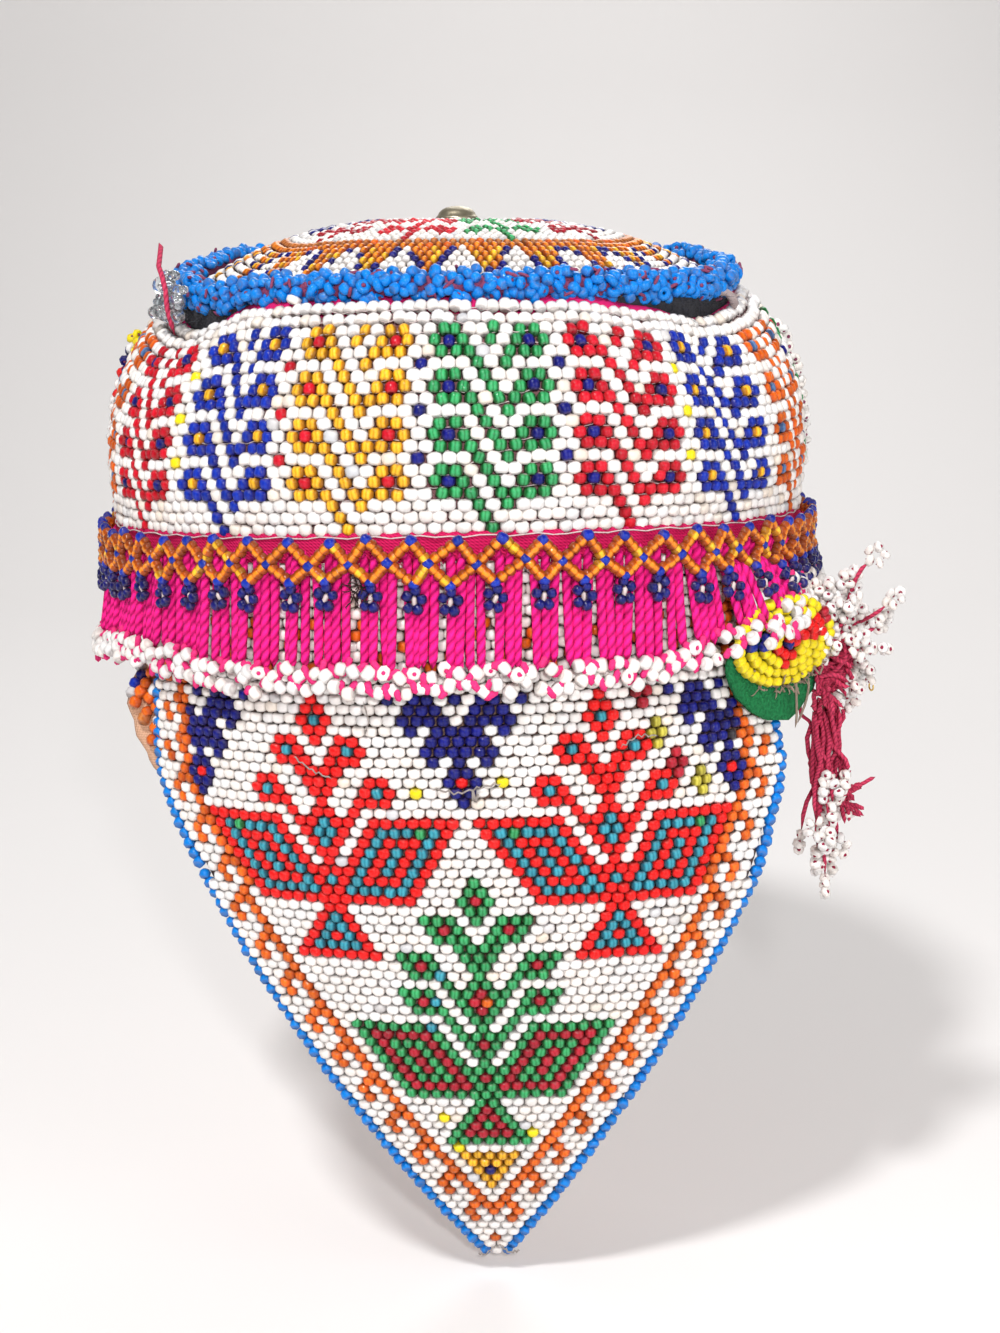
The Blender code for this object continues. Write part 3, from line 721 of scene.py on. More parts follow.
form = bmesh.new()
button_foot = crown_point(0.0, 0.08).z + GAP
profile = [form.verts.new((radius, 0.0, button_foot + height)) for radius, height in BUTTON_PROFILE]
sides = [form.edges.new(pair) for pair in zip(profile, profile[1:])]
bmesh.ops.spin(
    form, geom=profile + sides, cent=(0, 0, 0), axis=(0, 0, 1), angle=math.tau, steps=32, use_merge=True)
bmesh.ops.remove_doubles(form, verts=form.verts, dist=0.00001)
brass = uneven_finish(
    "old_brass", 0.38, (0.16, 0.13, 0.08), (0.62, 0.56, 0.42), 420.0, 4.0, worn=(-0.4, 0.62), metallic=1.0)
belongs(grown("crown_button_dome", form, brass), "old_brass", "crown_button")


# Wall beads: twenty rows of beads with upright holes, each row half a bead on from the last.
# Seventeen branching trees in five colours, with small flowers, stand on a white ground.
WALL_ROWS = 20
WALL_COUNT = 170
WALL_BEAD_DEPTH = 0.00132
WALL_BEAD_TALLEST = 0.00270
WALL_BEAD_SEAT = 0.00105
TREE_TURN = 6.2
TREE_ROWS = {
    2: ".gg..g.gg.", 3: ".gng.g.gng", 4: ".ggg..ggg.", 5: "d...g.g...", 6: ".gg.g..gg.",
    7: ".gng.g.gng", 8: ".ggg.gggg.", 17: "....g.g...", 18: "....g.....", 19: ".....g....",
}
for row in range(9, 17):
    TREE_ROWS[row] = TREE_ROWS[5 + (row - 9) % 4]
TREES = (
    ("g", "n", "n"), ("R", "n", "n"), ("b", "y", "l"), ("o", "s", "w"), ("g", "R", "n"), ("R", "n", "l"),
    ("b", "y", "n"), ("y", "R", "R"), ("g", "n", "n"), ("R", "n", "n"), ("b", "l", "w"), ("y", "R", "n"),
    ("g", "n", "n"), ("o", "s", "n"), ("R", "n", "w"), ("b", "y", "l"), ("y", "R", "R"),
)


def wall_letter(row, number):
    tree, column = divmod(number, 10)
    colour, flower, dot = TREES[tree % len(TREES)]
    mark = TREE_ROWS.get(row, "..........")[column]
    if mark == ".":
        if chance.random() < 0.012:
            return chance.choice("kcck")
        return "c" if chance.random() < 0.05 else "w"
    return {"g": colour, "n": flower, "d": dot}[mark]


def row_share(row):
    """How far down the wall a row lies, the lower rows a little closer together."""
    down = row / (WALL_ROWS - 1)
    return -0.022 + 1.015 * (0.96 * down + 0.04 * down * down)


wall_white, wall_colours = [], []
for row in range(WALL_ROWS):
    share = row_share(row)
    half_step = 0.5 if row % 2 == 0 else 0.0
    loose = 1.0 if row > 2 else 1.7
    for number in range(WALL_COUNT):
        turn = math.radians(TREE_TURN + (number - 5 + half_step) * 360 / WALL_COUNT)
        letter = wall_letter(row, number)
        above, below = wall_point(turn, share - 0.02), wall_point(turn, share + 0.02)
        ahead = wall_point(turn + 0.01, share) - wall_point(turn - 0.01, share)
        outward = ahead.cross(above - below).normalized()
        pitch = ahead.length / 0.02 * math.tau / WALL_COUNT
        full = letter in WHITES
        width = pitch * (chance.uniform(0.50, 0.555) if full else chance.uniform(0.45, 0.49))
        width *= chance.uniform(1.0, 1.12) if row < 3 else 1.0
        tall = min(WALL_BEAD_TALLEST, (below - above).length / 0.04 / (WALL_ROWS - 1))
        tall *= chance.uniform(0.56, 0.61) if full else 0.535
        shift = shaken(0.00013 * loose)
        place = wall_point(turn, share) - outward * (WALL_BEAD_SEAT + chance.gauss(0, 0.00012)) + shift
        lean = ahead.normalized() * chance.gauss(0, 0.11 * loose) + outward * chance.gauss(0, 0.08 * loose)
        turned = facing((below - above).normalized() + lean, outward)
        bead = (place, turned, (width, WALL_BEAD_DEPTH * chance.uniform(0.92, 1.0), tall), letter)
        (wall_white if full else wall_colours).append(bead)
belongs(strung("wall_white_beads", barrel(), wall_white, china), "wall_beads", "crown_wall")
belongs(strung("wall_coloured_beads", barrel(), wall_colours, clear_colours), "wall_beads")


def thread_ring(form, place, radius):
    """A thin thread laid round the hat, closed on itself, dipping from bead to bead."""
    made = bmesh.ops.create_grid(form, x_segments=WALL_COUNT, y_segments=3, size=0.5)["verts"]
    for vert in made:
        turn, angle = math.tau * (vert.co.x + 0.5), math.tau * (vert.co.y + 0.5)
        centre = place(turn, round((vert.co.x + 0.5) * WALL_COUNT) % WALL_COUNT)
        outward = around(1.0, turn, 0.0)
        vert.co = centre + outward * (radius * math.cos(angle)) + raised(radius * math.sin(angle))
    bmesh.ops.remove_doubles(form, verts=made, dist=0.00001)


seams = bmesh.new()
for row in range(WALL_ROWS - 1):
    share = row_share(row + 0.5)
    waver = [chance.gauss(0, 0.0035) + (0.006 if step % 2 else -0.006) for step in range(WALL_COUNT)]
    thread_ring(seams, lambda turn, step: wall_point(turn, share + waver[step], WALL_BEAD_SEAT), 0.00016)
thread_ring(
    seams, lambda turn, step: wall_point(turn, 1.026 + 0.006 * math.sin(1.9 * step), -0.0001), 0.00022)


def thread_finish(name, colour, low):
    return cloth_finish(name, colour, low, 900, 900)


seam_thread = thread_finish("beading_thread", (0.78, 0.68, 0.66), (0.55, 0.42, 0.42))
belongs(grown("wall_seam_threads", seams, seam_thread), "wall_beads")


# Rim: loops of azure beads packed round the crown's edge, tied down with crimson thread that
# fills the holes. A black felt ring carries them and shows where the wall has sagged away.
LOOP_BEAD = 0.00168
RIM_LAPS = ((-62, 112), (-32, 112), (-2, 112), (30, 112), (64, 112), (100, 112), (140, 98))
RIM_ROUND_SHARE = 0.68
RIM_CORE = 0.0020
FELT_OUT = 0.0002
FELT_DROP = 0.0030
FELT_SAG = 0.0036
FELT_WALL = 0.0016
FUZZ_HAIRS = 420
FUZZ_HAIR = 0.00006
CREAM_END = (
    (0.0010, 0.0), (0.0024, 0.0002), (0.0038, 0.0002), (0.0048, 0.0012), (0.0052, 0.0028), (0.0050, 0.0044),
)


def rim_tube_point(turn, tilt, reach):
    """A point over the rim's core, tilt 0 outward and 90 degrees up."""
    height = rim_height(turn) + 0.0003 + 1.06 * reach * math.sin(tilt)
    return around(RIM_CENTRE + reach * math.cos(tilt), turn, height)


rim_beads, rim_rounds, rim_plugs = [], [], []
for lap, (tilt, count) in enumerate(RIM_LAPS):
    for step in range(count):
        turn = math.tau * (step + 0.5 * (lap % 2) + chance.uniform(-0.25, 0.25)) / count
        tilt_now = math.radians(tilt + chance.uniform(-14, 14))
        place = rim_tube_point(turn, tilt_now, RIM_CORD - 0.0010 + chance.uniform(-0.0004, 0.0012))
        outward = around(math.cos(tilt_now), turn, math.sin(tilt_now))
        sideways = ways(turn)[1]
        wander = chance.uniform(0, math.tau)
        across = sideways * math.cos(wander) + sideways.cross(outward) * math.sin(wander)
        hole = across + outward * chance.choice((0.1, 0.5, 1.4))
        size = LOOP_BEAD * chance.uniform(0.88, 1.08)
        turned = facing(hole, outward + across * 0.01)
        if chance.random() < RIM_ROUND_SHARE:
            rim_rounds.append((place, turned, sized(size, 0.72, 0.82), "u"))
        else:
            rim_beads.append((place, turned, sized(size, chance.uniform(0.95, 1.15)), "u"))
            if chance.random() < 0.8:
                rim_plugs.append((place, turned, sized(size, chance.uniform(0.5, 0.7), HOLE), "d"))
        if chance.random() < 0.16:
            spot = place + outward * (size * 0.62) + across * size * 0.8
            long = sized(size, chance.uniform(0.6, 1.1), 0.22)
            rim_plugs.append((spot, facing(sideways + across, outward), long, "d"))
stray = rim_tube_point(math.radians(-30.0), math.radians(-35), RIM_CORD + 0.0006)
stray_turned = facing(Vector((0.4, 0.2, 1.0)), Vector((-0.4, -1.0, 0.0)))
rim_beads.append((stray, stray_turned, (0.0018, 0.0018, 0.0017), "w"))
azure = bead_finish("azure_china_beads", 0.28, 0.4, 0.15)
thread_red = uneven_finish("crimson_sewing_thread", 0.8, (0.10, 0.02, 0.06), (0.34, 0.05, 0.13), 2600.0)
belongs(strung("rim_blue_bead_loops", ring_bead(), rim_beads, azure), "azure_beads", "rim_cord")
belongs(strung("rim_blue_round_beads", barrel(), rim_rounds, azure), "azure_beads")
belongs(strung("rim_thread_in_holes", plug(), rim_plugs, thread_red), "azure_beads")


def rim_core_place(across, down):
    return rim_tube_point(math.tau * across, math.tau * down, RIM_CORE)


belongs(grown("rim_thread_core", panel(96, 8, rim_core_place, closed=True), thread_red), "azure_beads")


def felt_place(across, down):
    turn = math.tau * across
    sagging = eased(TOP_SAGS, wrapped(turn))
    top = rim_height(turn) - RIM_CORD + 0.0009
    drop = (FELT_DROP + FELT_SAG * sagging) * down + 0.0003 * math.sin(41 * turn) * down
    return around(RIM_CENTRE + FELT_OUT + 0.0022 * sagging + 0.0003 * math.sin(23 * turn), turn, top - drop)


felt_dark = uneven_finish(
    "black_felt", 0.95, (0.004, 0.004, 0.006), (0.045, 0.045, 0.055), 1500.0, 5.0, 0.0006)
felt = cloth_piece("rim_felt_ring", panel(112, 4, felt_place, closed=True), FELT_WALL, felt_dark)
belongs(felt, "dark_felt", "rim_felt")


def lay_cord(form, path, outward, radius, sides=7, ply=0.0052, taper=0.0, rough=0.0):
    """A round cord along a path, closed at both ends, its UV map counting the turns of its twist."""
    layer = form.loops.layers.uv.get("UVMap") or form.loops.layers.uv.new("UVMap")
    rows = len(path) - 1
    length = sum((second - first).length for first, second in zip(path, path[1:]))
    made = bmesh.ops.create_grid(
        form, x_segments=sides, y_segments=rows, size=0.5, calc_uvs=True)["verts"]
    for vert in made:
        row = round((0.5 - vert.co.y) * rows)
        angle = math.tau * (vert.co.x + 0.5)
        for loop in vert.link_loops:
            loop[layer].uv = (vert.co.x + 0.5, row / rows * length / ply)
        along = (path[min(rows, row + 1)] - path[max(0, row - 1)]).normalized()
        side = along.cross(outward).normalized()
        front = side.cross(along)
        width = radius * (1 - taper * row / rows) * (1 + rough * math.sin(5 * row))
        if row in (0, rows):
            width = 0.0
        vert.co = path[row] + (side * math.cos(angle) + front * math.sin(angle)) * width
    bmesh.ops.remove_doubles(form, verts=made, dist=0.00001)


hairs = bmesh.new()
for _ in range(FUZZ_HAIRS):
    degrees = chance.choice((chance.gauss(-60, 10), chance.gauss(55, 12), chance.uniform(-180, 180)))
    turn = math.radians(degrees)
    start = felt_place((turn / math.tau) % 1.0, chance.uniform(0.1, 1.0))
    heading = ways(turn)[0] * chance.uniform(0.4, 1.2) + shaken(0.7)
    bend = shaken(0.5)
    reach = chance.uniform(0.0008, 0.0022)
    path = [start + (heading + bend * share) * reach * share for share in (0.0, 0.35, 0.7, 1.0)]
    lay_cord(hairs, path, around(0.6, turn, 0.8), FUZZ_HAIR, sides=3)
belongs(grown("rim_felt_fuzz", hairs, felt_dark), "dark_felt")
cream_end = bmesh.new()
path = [
    around(RIM_CENTRE + out, math.radians(64.0 + 0.8 * step), rim_height(1.12) - 0.0012 - drop)
    for step, (out, drop) in enumerate(CREAM_END)]
lay_cord(cream_end, path, raised(1.0), 0.0010, rough=0.12)
belongs(grown("rim_cream_cloth_end", cream_end, seam_thread), "dark_felt")


# Cloth band: a strip of hot pink twill, folded in at its edges, that the wall's last row,
# the fringe and the flap are sewn to.
BAND_HEIGHT = 0.0066
BAND_WALL = 0.0011


def band_point(turn, below_wall, outward=0.0):
    radius = wall_radius(turn, 1.0) + outward
    return around(radius, turn, WALL_BASE - base_drop(turn) - below_wall)


def band_place(across, down):
    turn = math.tau * across
    crease = 0.0003 * math.sin(31 * turn) * math.sin(math.pi * down) + 0.0002 * math.sin(77 * turn + 3 * down)
    return band_point(turn, GAP + (BAND_HEIGHT - GAP) * down, crease - 0.0002)


band_pink = cloth_finish("band_pink_twill", (0.74, 0.014, 0.13), (0.40, 0.004, 0.06), 560, 9, slant=1.0)
band = cloth_piece("cloth_band", panel(168, 5, band_place, closed=True), BAND_WALL, band_pink)
belongs(band, "pink_cloth", "head_band")


# Fringe: two-ply pink cotton cords side by side, in twos and threes with gaps between them,
# ending in two tiers of small white beads looped on the same pink cotton.
FRINGE_LENGTH = 0.0300
FRINGE_TOP = 0.0046
FRINGE_FREE = 0.0045
FRINGE_OUT = 0.0016
FRINGE_FLARE = 0.0100
FRINGE_CORD = 0.00110
CORD_SHORTER = (0.0036, 0.0056)
CORD_SWAY = 0.005
CORD_WAVE = 0.0022
CORD_STEPS = 12
FRINGE_BEAD = 0.00162
FRINGE_TIERS = (0.0047, 0.0015)
LOOP_PITCH = 2.06
OVER_MEDALLION = (0.0112, 51, 11)
LIFTED = (0.0120, 104, 15)
FLARES = (
    (-180, .20), (-100, .30), (-80, .35), (-40, .15), (30, .15), (55, .75), (75, 1.00),
    (100, 1.00), (130, .40), (180, .20),
)
LENGTHS = (
    (-180, 0.95), (-90, 1.00), (-60, 0.88), (-46, 0.92), (-34, 1.00), (30, 1.00), (38, 0.90), (44, 0.76),
    (53, 0.68), (60, 0.52), (78, 0.52), (90, 0.86), (100, 0.97), (180, 0.95),
)


def swell(turn, most, centre, half_width):
    """How far something stands out round one place on the hat."""
    return most * math.exp(-((wrapped(turn) - centre) / half_width) ** 2)


def fringe_flare(turn, down):
    share = max(0.0, (down - FRINGE_FREE) / (FRINGE_LENGTH - FRINGE_FREE))
    over_medallion = swell(turn, *OVER_MEDALLION) * math.sqrt(share)
    lifted = swell(turn, *LIFTED) * share ** 1.2
    return FRINGE_FLARE * eased(FLARES, wrapped(turn)) * share ** 1.4 + over_medallion + lifted


def fringe_point(turn, down, inward=0.0):
    return band_point(turn, FRINGE_TOP + down, GAP + FRINGE_OUT + fringe_flare(turn, down) - inward)


def fringe_length(turn):
    return FRINGE_LENGTH * eased(LENGTHS, wrapped(turn))


cords = bmesh.new()
degrees, bunch, members = -180.0, 0, 3
while degrees < 179.0:
    turn = math.radians(degrees)
    length = fringe_length(turn) - chance.uniform(*CORD_SHORTER)
    sway = chance.gauss(0, CORD_SWAY)
    lift = chance.uniform(-0.0004, 0.0006)
    path = []
    for step in range(CORD_STEPS + 1):
        down = -0.0010 + (length + 0.0010) * step / CORD_STEPS
        far = max(0.0, down) / FRINGE_LENGTH
        bend = sway * far ** 1.5 + CORD_WAVE * math.sin(4 * far + degrees) + (bunch - 1) * -0.004 * far
        path.append(fringe_point(turn + bend, down, 0.0007 - lift))
    lay_cord(
        cords, path, ways(turn)[0], FRINGE_CORD * chance.uniform(0.92, 1.06), taper=0.08,
        rough=chance.uniform(0.0, 0.05))
    bunch += 1
    degrees += chance.uniform(1.38, 1.58)
    if bunch == members:
        bunch, members = 0, chance.choice((2, 3, 3, 4))
        degrees += chance.uniform(0.25, 0.95)

loop_beads, round_beads, loop_plugs = [], [], []
degrees = -180.0
while degrees < 178.6:
    for tier, above in enumerate(FRINGE_TIERS):
        turn = math.radians(degrees + 1.0 * tier + chance.uniform(-0.35, 0.35))
        down = fringe_length(turn) - above + chance.gauss(0, 0.0006) + 0.0007 * math.sin(97 * turn)
        outward, sideways = ways(turn)
        spot = fringe_point(turn, down, -0.0002 + chance.uniform(-0.0009, 0.0006))
        lean = raised(chance.uniform(-1.2, 1.2))
        size = FRINGE_BEAD * chance.uniform(0.90, 1.08)
        if chance.random() < 0.88:
            turned = facing(sideways + lean + outward * chance.uniform(-0.4, 0.4), outward)
            round_beads.append((spot, turned, sized(size, 0.86), "w"))
        else:
            hole = sideways * chance.uniform(0.1, 0.9) + lean + outward * 2.0
            turned = facing(hole, outward + sideways * 0.02)
            loop_beads.append((spot, turned, (size, size * chance.uniform(1.0, 1.25), size * 1.12), "w"))
            loop_plugs.append((spot, turned, sized(size, 0.70, HOLE), "w"))
        for aside in (-0.019, 0.019):
            if chance.random() < 0.62:
                between = fringe_point(turn + aside, down + chance.uniform(-0.0016, 0.0010), -0.0005)
                hang = raised(1.0) + sideways * chance.gauss(0, 0.9)
                long = (0.00080, 0.00075, chance.uniform(0.0012, 0.0021))
                loop_plugs.append((between, facing(hang, outward), long, "w"))
    degrees += LOOP_PITCH


def ply_group():
    """Two plies winding round a cord, by the turns that its UV map counts, with loose fibre, painted dark in
    the grooves and light on the crests.
    """
    tree, wires, given, out = group_begun(
        "twisted_plies", {
            "Scale": 2000.0, "Detail": 2.0, "Wander": 0.0, "Hollow": 1.0, "Fibre": 0.3, "Ply": 0.85,
            "Dark": (0.0, 0.0, 0.0), "Light": (1.0, 1.0, 1.0)},
        {"Color": "NodeSocketColor", "Height": "NodeSocketFloat"})
    strand = wires.noise(given["Scale"], given["Detail"])
    spiral = wires.sum("MULTIPLY", wires.sum("ADD", *wires.across_down()), math.tau)
    wander = wires.sum("MULTIPLY", wires.sum("SUBTRACT", strand, 0.5), given["Wander"])
    ply = wires.sum("ABSOLUTE", wires.sum("SINE", wires.sum("ADD", spiral, wander)))
    ply = wires.sum("POWER", ply, given["Hollow"])
    depth = wires.sum("MULTIPLY_ADD", strand, given["Fibre"], wires.sum("MULTIPLY", ply, given["Ply"]))
    # Colour from Dark to Light by the relief: painted shade in the grooves between plies, painted highlight
    # on their crests, with uneven fibre.
    wires.join(wires.mix(depth, given["Dark"], given["Light"]), out["Color"])
    wires.join(depth, out["Height"])
    return tree


PLIES = ply_group()


def cord_finish(name, rise, **twist):
    made, shader, wires = finish_named(name, 0.85, specular=0.25)
    tone = wires.group(PLIES, **twist)
    wires.join(tone["Color"], shader.inputs["Base Color"])
    wires.bump(shader, tone["Height"], rise)
    return made


cord_pink = cord_finish(
    "pink_cotton_cord", 0.0006, scale=1900.0, detail=3.0, wander=0.7, fibre=0.30, ply=0.85,
    dark=(0.42, 0.001, 0.085), light=(1.0, 0.014, 0.28))
pinks = uneven_finish(
    "pink_thread_in_loops", 0.85, (0.48, 0.004, 0.10), (0.95, 0.06, 0.26), 2400.0, rise=0.0, specular=0.25)
belongs(grown("fringe_cords", cords, cord_pink), "pink_cord", "cord_fringe")
belongs(strung("fringe_bead_loops", ring_bead(), loop_beads, china), "pink_cord")
belongs(strung("fringe_round_beads", barrel(), round_beads, china), "pink_cord")
belongs(strung("fringe_thread_in_loops", plug(), loop_plugs, pinks), "pink_cord")


# Bead net: diamonds of amber glass, three beads to a side, with a navy bead at each crossing
# and below each diamond a small ring of navy beads. It has bunched up a little at both sides.
NET_DIAMONDS = 60
NET_TURN = 0.9
NET_GAP = 0.0004
NET_DEPTH = 0.0018
NET_TOP, NET_SIDE, NET_FOOT = 0.0016, 0.0062, 0.0106
KNOT_BEAD = 0.00122
AMBER_BEAD = 0.00132
AMBER_HEIGHT = 0.00104
PICOT_BEAD = 0.00118
PICOT_BEADS = 5
PICOT_DROP = 0.0034
PICOT_HEIGHT = 0.0021
PICOT_HALF_TURN = 0.0190


def net_point(turn, below_wall, inward=0.0):
    out = GAP + FRINGE_OUT + NET_GAP + NET_DEPTH - inward
    return band_point(turn, below_wall, out + fringe_flare(turn, below_wall - FRINGE_TOP))


def net_knot(index, level):
    """Crossings move a little off their even places, each by its own amount."""
    own = random.Random(index * 7 + round(level * 20000))
    return math.radians(NET_TURN + 3 * index) + own.gauss(0, 0.0065), level + own.gauss(0, 0.00035)


def add_net_bead(turn, level, along, size, letter, target, lift=0.0):
    spot = net_point(turn, level, 0.0009 - lift)
    target.append((spot, facing(along, ways(turn)[0]), size, letter))


net_amber, net_navy, net_thread = [], [], []
for number in range(NET_DIAMONDS):
    top, foot = net_knot(2 * number, NET_TOP), net_knot(2 * number, NET_FOOT)
    right = net_knot((2 * number + 1) % (2 * NET_DIAMONDS), NET_SIDE)
    left = net_knot((2 * number - 1) % (2 * NET_DIAMONDS), NET_SIDE)
    for turn, level in (top, right, foot):
        size = KNOT_BEAD * chance.uniform(0.93, 1.08)
        lean = around(1.0, turn + math.pi / 2, chance.uniform(-0.5, 0.5))
        add_net_bead(turn, level, lean, sized(size, 1.0), "b", net_navy, 0.0002)
    for start, end in ((top, right), (top, left), (foot, right), (foot, left)):
        shift = (end[0] - start[0] + math.pi) % math.tau - math.pi
        along = net_point(start[0] + shift, end[1]) - net_point(start[0], start[1])
        for item in range(3):
            share = 0.24 + 0.26 * item
            lean = along + shaken(0.0006)
            letter = "a" if chance.random() > 0.12 else "y"
            add_net_bead(
                start[0] + shift * share, start[1] + (end[1] - start[1]) * share, lean,
                (AMBER_BEAD, AMBER_BEAD, AMBER_HEIGHT * chance.uniform(0.95, 1.1)), letter, net_amber,
                chance.gauss(0, 0.00015))
    if chance.random() < 0.94:
        heading = chance.uniform(-0.4, 0.4)
        for item in range(PICOT_BEADS):
            angle = heading + math.tau * item / PICOT_BEADS
            turn = foot[0] + PICOT_HALF_TURN * math.sin(angle)
            level = foot[1] + PICOT_DROP - PICOT_HEIGHT * math.cos(angle)
            lean = ways(turn)[1] * math.cos(angle) - raised(math.sin(angle))
            size = PICOT_BEAD * chance.uniform(0.92, 1.08)
            add_net_bead(turn, level, lean, sized(size, 0.9), "N", net_navy, chance.uniform(-.0002, .0005))
        spot = net_point(foot[0], foot[1] + 0.0036, 0.0009)
        hang = facing(Vector((chance.gauss(0, 0.3), 0, 1)), ways(foot[0])[0])
        net_thread.append((spot, hang, (0.0006, 0.0005, 0.0013), "w"))
# Navy glass: a faint painted highlight bar near the middle, on darker painted sides.
navy_glass = bead_finish(
    "navy_glass_beads", 0.25, 0.4, 0.12, bar_place=0.1, bar_width=0.5, glow=0.5, shade=0.7)
belongs(strung("net_amber_beads", barrel(), net_amber, amber_glass), "amber_beads", "bead_net")
belongs(strung("net_navy_beads", barrel(), net_navy, navy_glass), "amber_beads")
belongs(strung("net_thread_ends", plug(), net_thread, seam_thread), "amber_beads")


# Back flap: beads on a pointed cloth tongue, rows half a bead apart. Two red plants with
# teal-filled leaves, a green plant below, navy steps between, and an orange hooked border.
FLAP_HALF = 0.0805
FLAP_STRAIGHT = 0.0495
FLAP_LENGTH = 0.1840
FLAP_TIP = 0.0016
FLAP_ROUND_FROM, FLAP_ROUND_TO = 0.0220, 0.0750
FLAP_LEFT_RADIUS, FLAP_RIGHT_RADIUS = 0.1080, 0.1350
FLAP_LEAN, FLAP_TIP_LEAN = 0.0045, 0.0052
FLAP_TUCK = 0.0370
FLAP_ROWS = 77
FLAP_HIDDEN_ROWS = 12
FLAP_PITCH = FLAP_LENGTH / FLAP_ROWS
FLAP_COLUMN = FLAP_HALF / 27.5
FLAP_BEAD_DEPTH = 0.00128
FLAP_BEAD_SEAT = 0.00100
EDGE_BEAD = 0.00142
EDGE_TOP = 0.024


def flap_half_width(down):
    taper = min(1.0, max(0.0, (down - FLAP_STRAIGHT) / (FLAP_LENGTH - FLAP_STRAIGHT)))
    return FLAP_HALF + (FLAP_TIP - FLAP_HALF) * taper ** 1.08


def flap_point(across, down, inward=0.0):
    share = down / FLAP_LENGTH
    ease = max(0.0, min(1.0, (down - FLAP_ROUND_FROM) / (FLAP_ROUND_TO - FLAP_ROUND_FROM)))
    start = wall_radius(0.0, 1.0)
    curve = start + ((FLAP_LEFT_RADIUS if across < 0 else FLAP_RIGHT_RADIUS) - start) * ease
    turn = across / curve
    radius = curve - inward
    lean = FLAP_LEAN * ease + FLAP_TIP_LEAN * max(0.0, share - 0.35) / 0.65
    tuck = FLAP_TUCK * max(0.0, share) ** 2.3
    sag = base_drop(across / start) * (1 - min(1.0, share))
    height = WALL_BASE - BAND_HEIGHT - GAP - down * (1 - 0.0350 * share) - sag
    return Vector((lean + radius * math.sin(turn), -start + curve + tuck - radius * math.cos(turn), height))


RED_PLANT = (
    "r", "r", "tr", "r", "r.rr", ".rtr", ".rrr", "rr", "rr..rr", "r..rtr", "r..rrr", "r.r",
    "trr.rrrrrrr", "tr.rtttgtr", "tr.rtrrrtr", "r.rtrtrtr", "r.rtrtrtr", "rrtrtrtr", "trtrrrtr",
    "rtttttr", "rrrrrrr", "r", "tr", "tr", "rtr", "ttr", "rrrr",
)
GREEN_PLANT = (
    "g", "g", "dg", "g", "g.ggg", ".gdg", ".ggg", "gg", "gg..ggg", "g..gdg", "g..ggg", "g.g", "dgg.ggg",
    "dg.gdg", "dg.ggg", "g.g", "g.g.ggggggg", "gg.gdddddg", "dg.gdgggdg", "g.gdgdgdg", "g.gdgdgdg",
    "ggdgdgdg", "dgdgggdg", "gdddddg", "ggggggg", "g", "dg", "dg", "gdg", "ddg", "gggg", ".", "yyy", "yy",
    "ny", "y", "y",
)
NAVY_STEPS = ("n.nn.n", ".nnn", ".nnnn", "nn.n", "nnn", "nnn", "n.n", "n", "rn", "n", "n")
CHARTS = (
    (GREEN_PLANT, 18, 0), (NAVY_STEPS, 0, 0), (NAVY_STEPS, 0, -22), (NAVY_STEPS, 0, 22),
    (RED_PLANT, 0, -11), (RED_PLANT, 0, 11),
)
STRAYS = {
    (8, 3): "l", (9, -3.5): "l", (28, -3): "t", (31, 0.5): "o", (31, -3.5): "t", (34, -4): "t",
    (5, 22.5): "q", (1, 14.5): "d", (0, 15): "d", (0, 14): "d", (4, 15): "e", (4, 16): "e",
    (3, 15.5): "e", (5, 15.5): "e", (6, 17): "d", (7, 16.5): "d", (7, 17.5): "d", (8, 17): "d",
    (8, 19): "e", (9, 18.5): "e", (9, 19.5): "e", (10, 19): "e", (47, 3.5): "l", (45, -3.5): "l",
    (49, -2.5): "l", (52, 5): "l", (53, 4.5): "l",
}


def chart_letter(chart, first, row, away):
    index = int(abs(away))
    if 0 <= row - first < len(chart) and index < len(chart[row - first]):
        return chart[row - first][index]
    return "."


def flap_letter(row, column, edge):
    """Colour at a row counted from the fringe's lower end and a column from the middle."""
    if 3.5 <= edge < 4.5:
        return "o"
    phase = row % 4
    if (phase == 1 and 2.5 <= edge < 3.5) or (phase in (2, 3) and 1.5 <= edge < 2.5):
        return "o"
    if edge < 4.5:
        return "w"
    if (row, column) in STRAYS:
        return STRAYS[(row, column)]
    for chart, first, axis in CHARTS:
        letter = chart_letter(chart, first, row, column - axis)
        if letter != ".":
            return letter
    if -8 < row < -2 and (column * 2 + row * 2) % 9 < 2:
        return "o"
    return "w" if chance.random() > 0.04 else chance.choice("ckc")


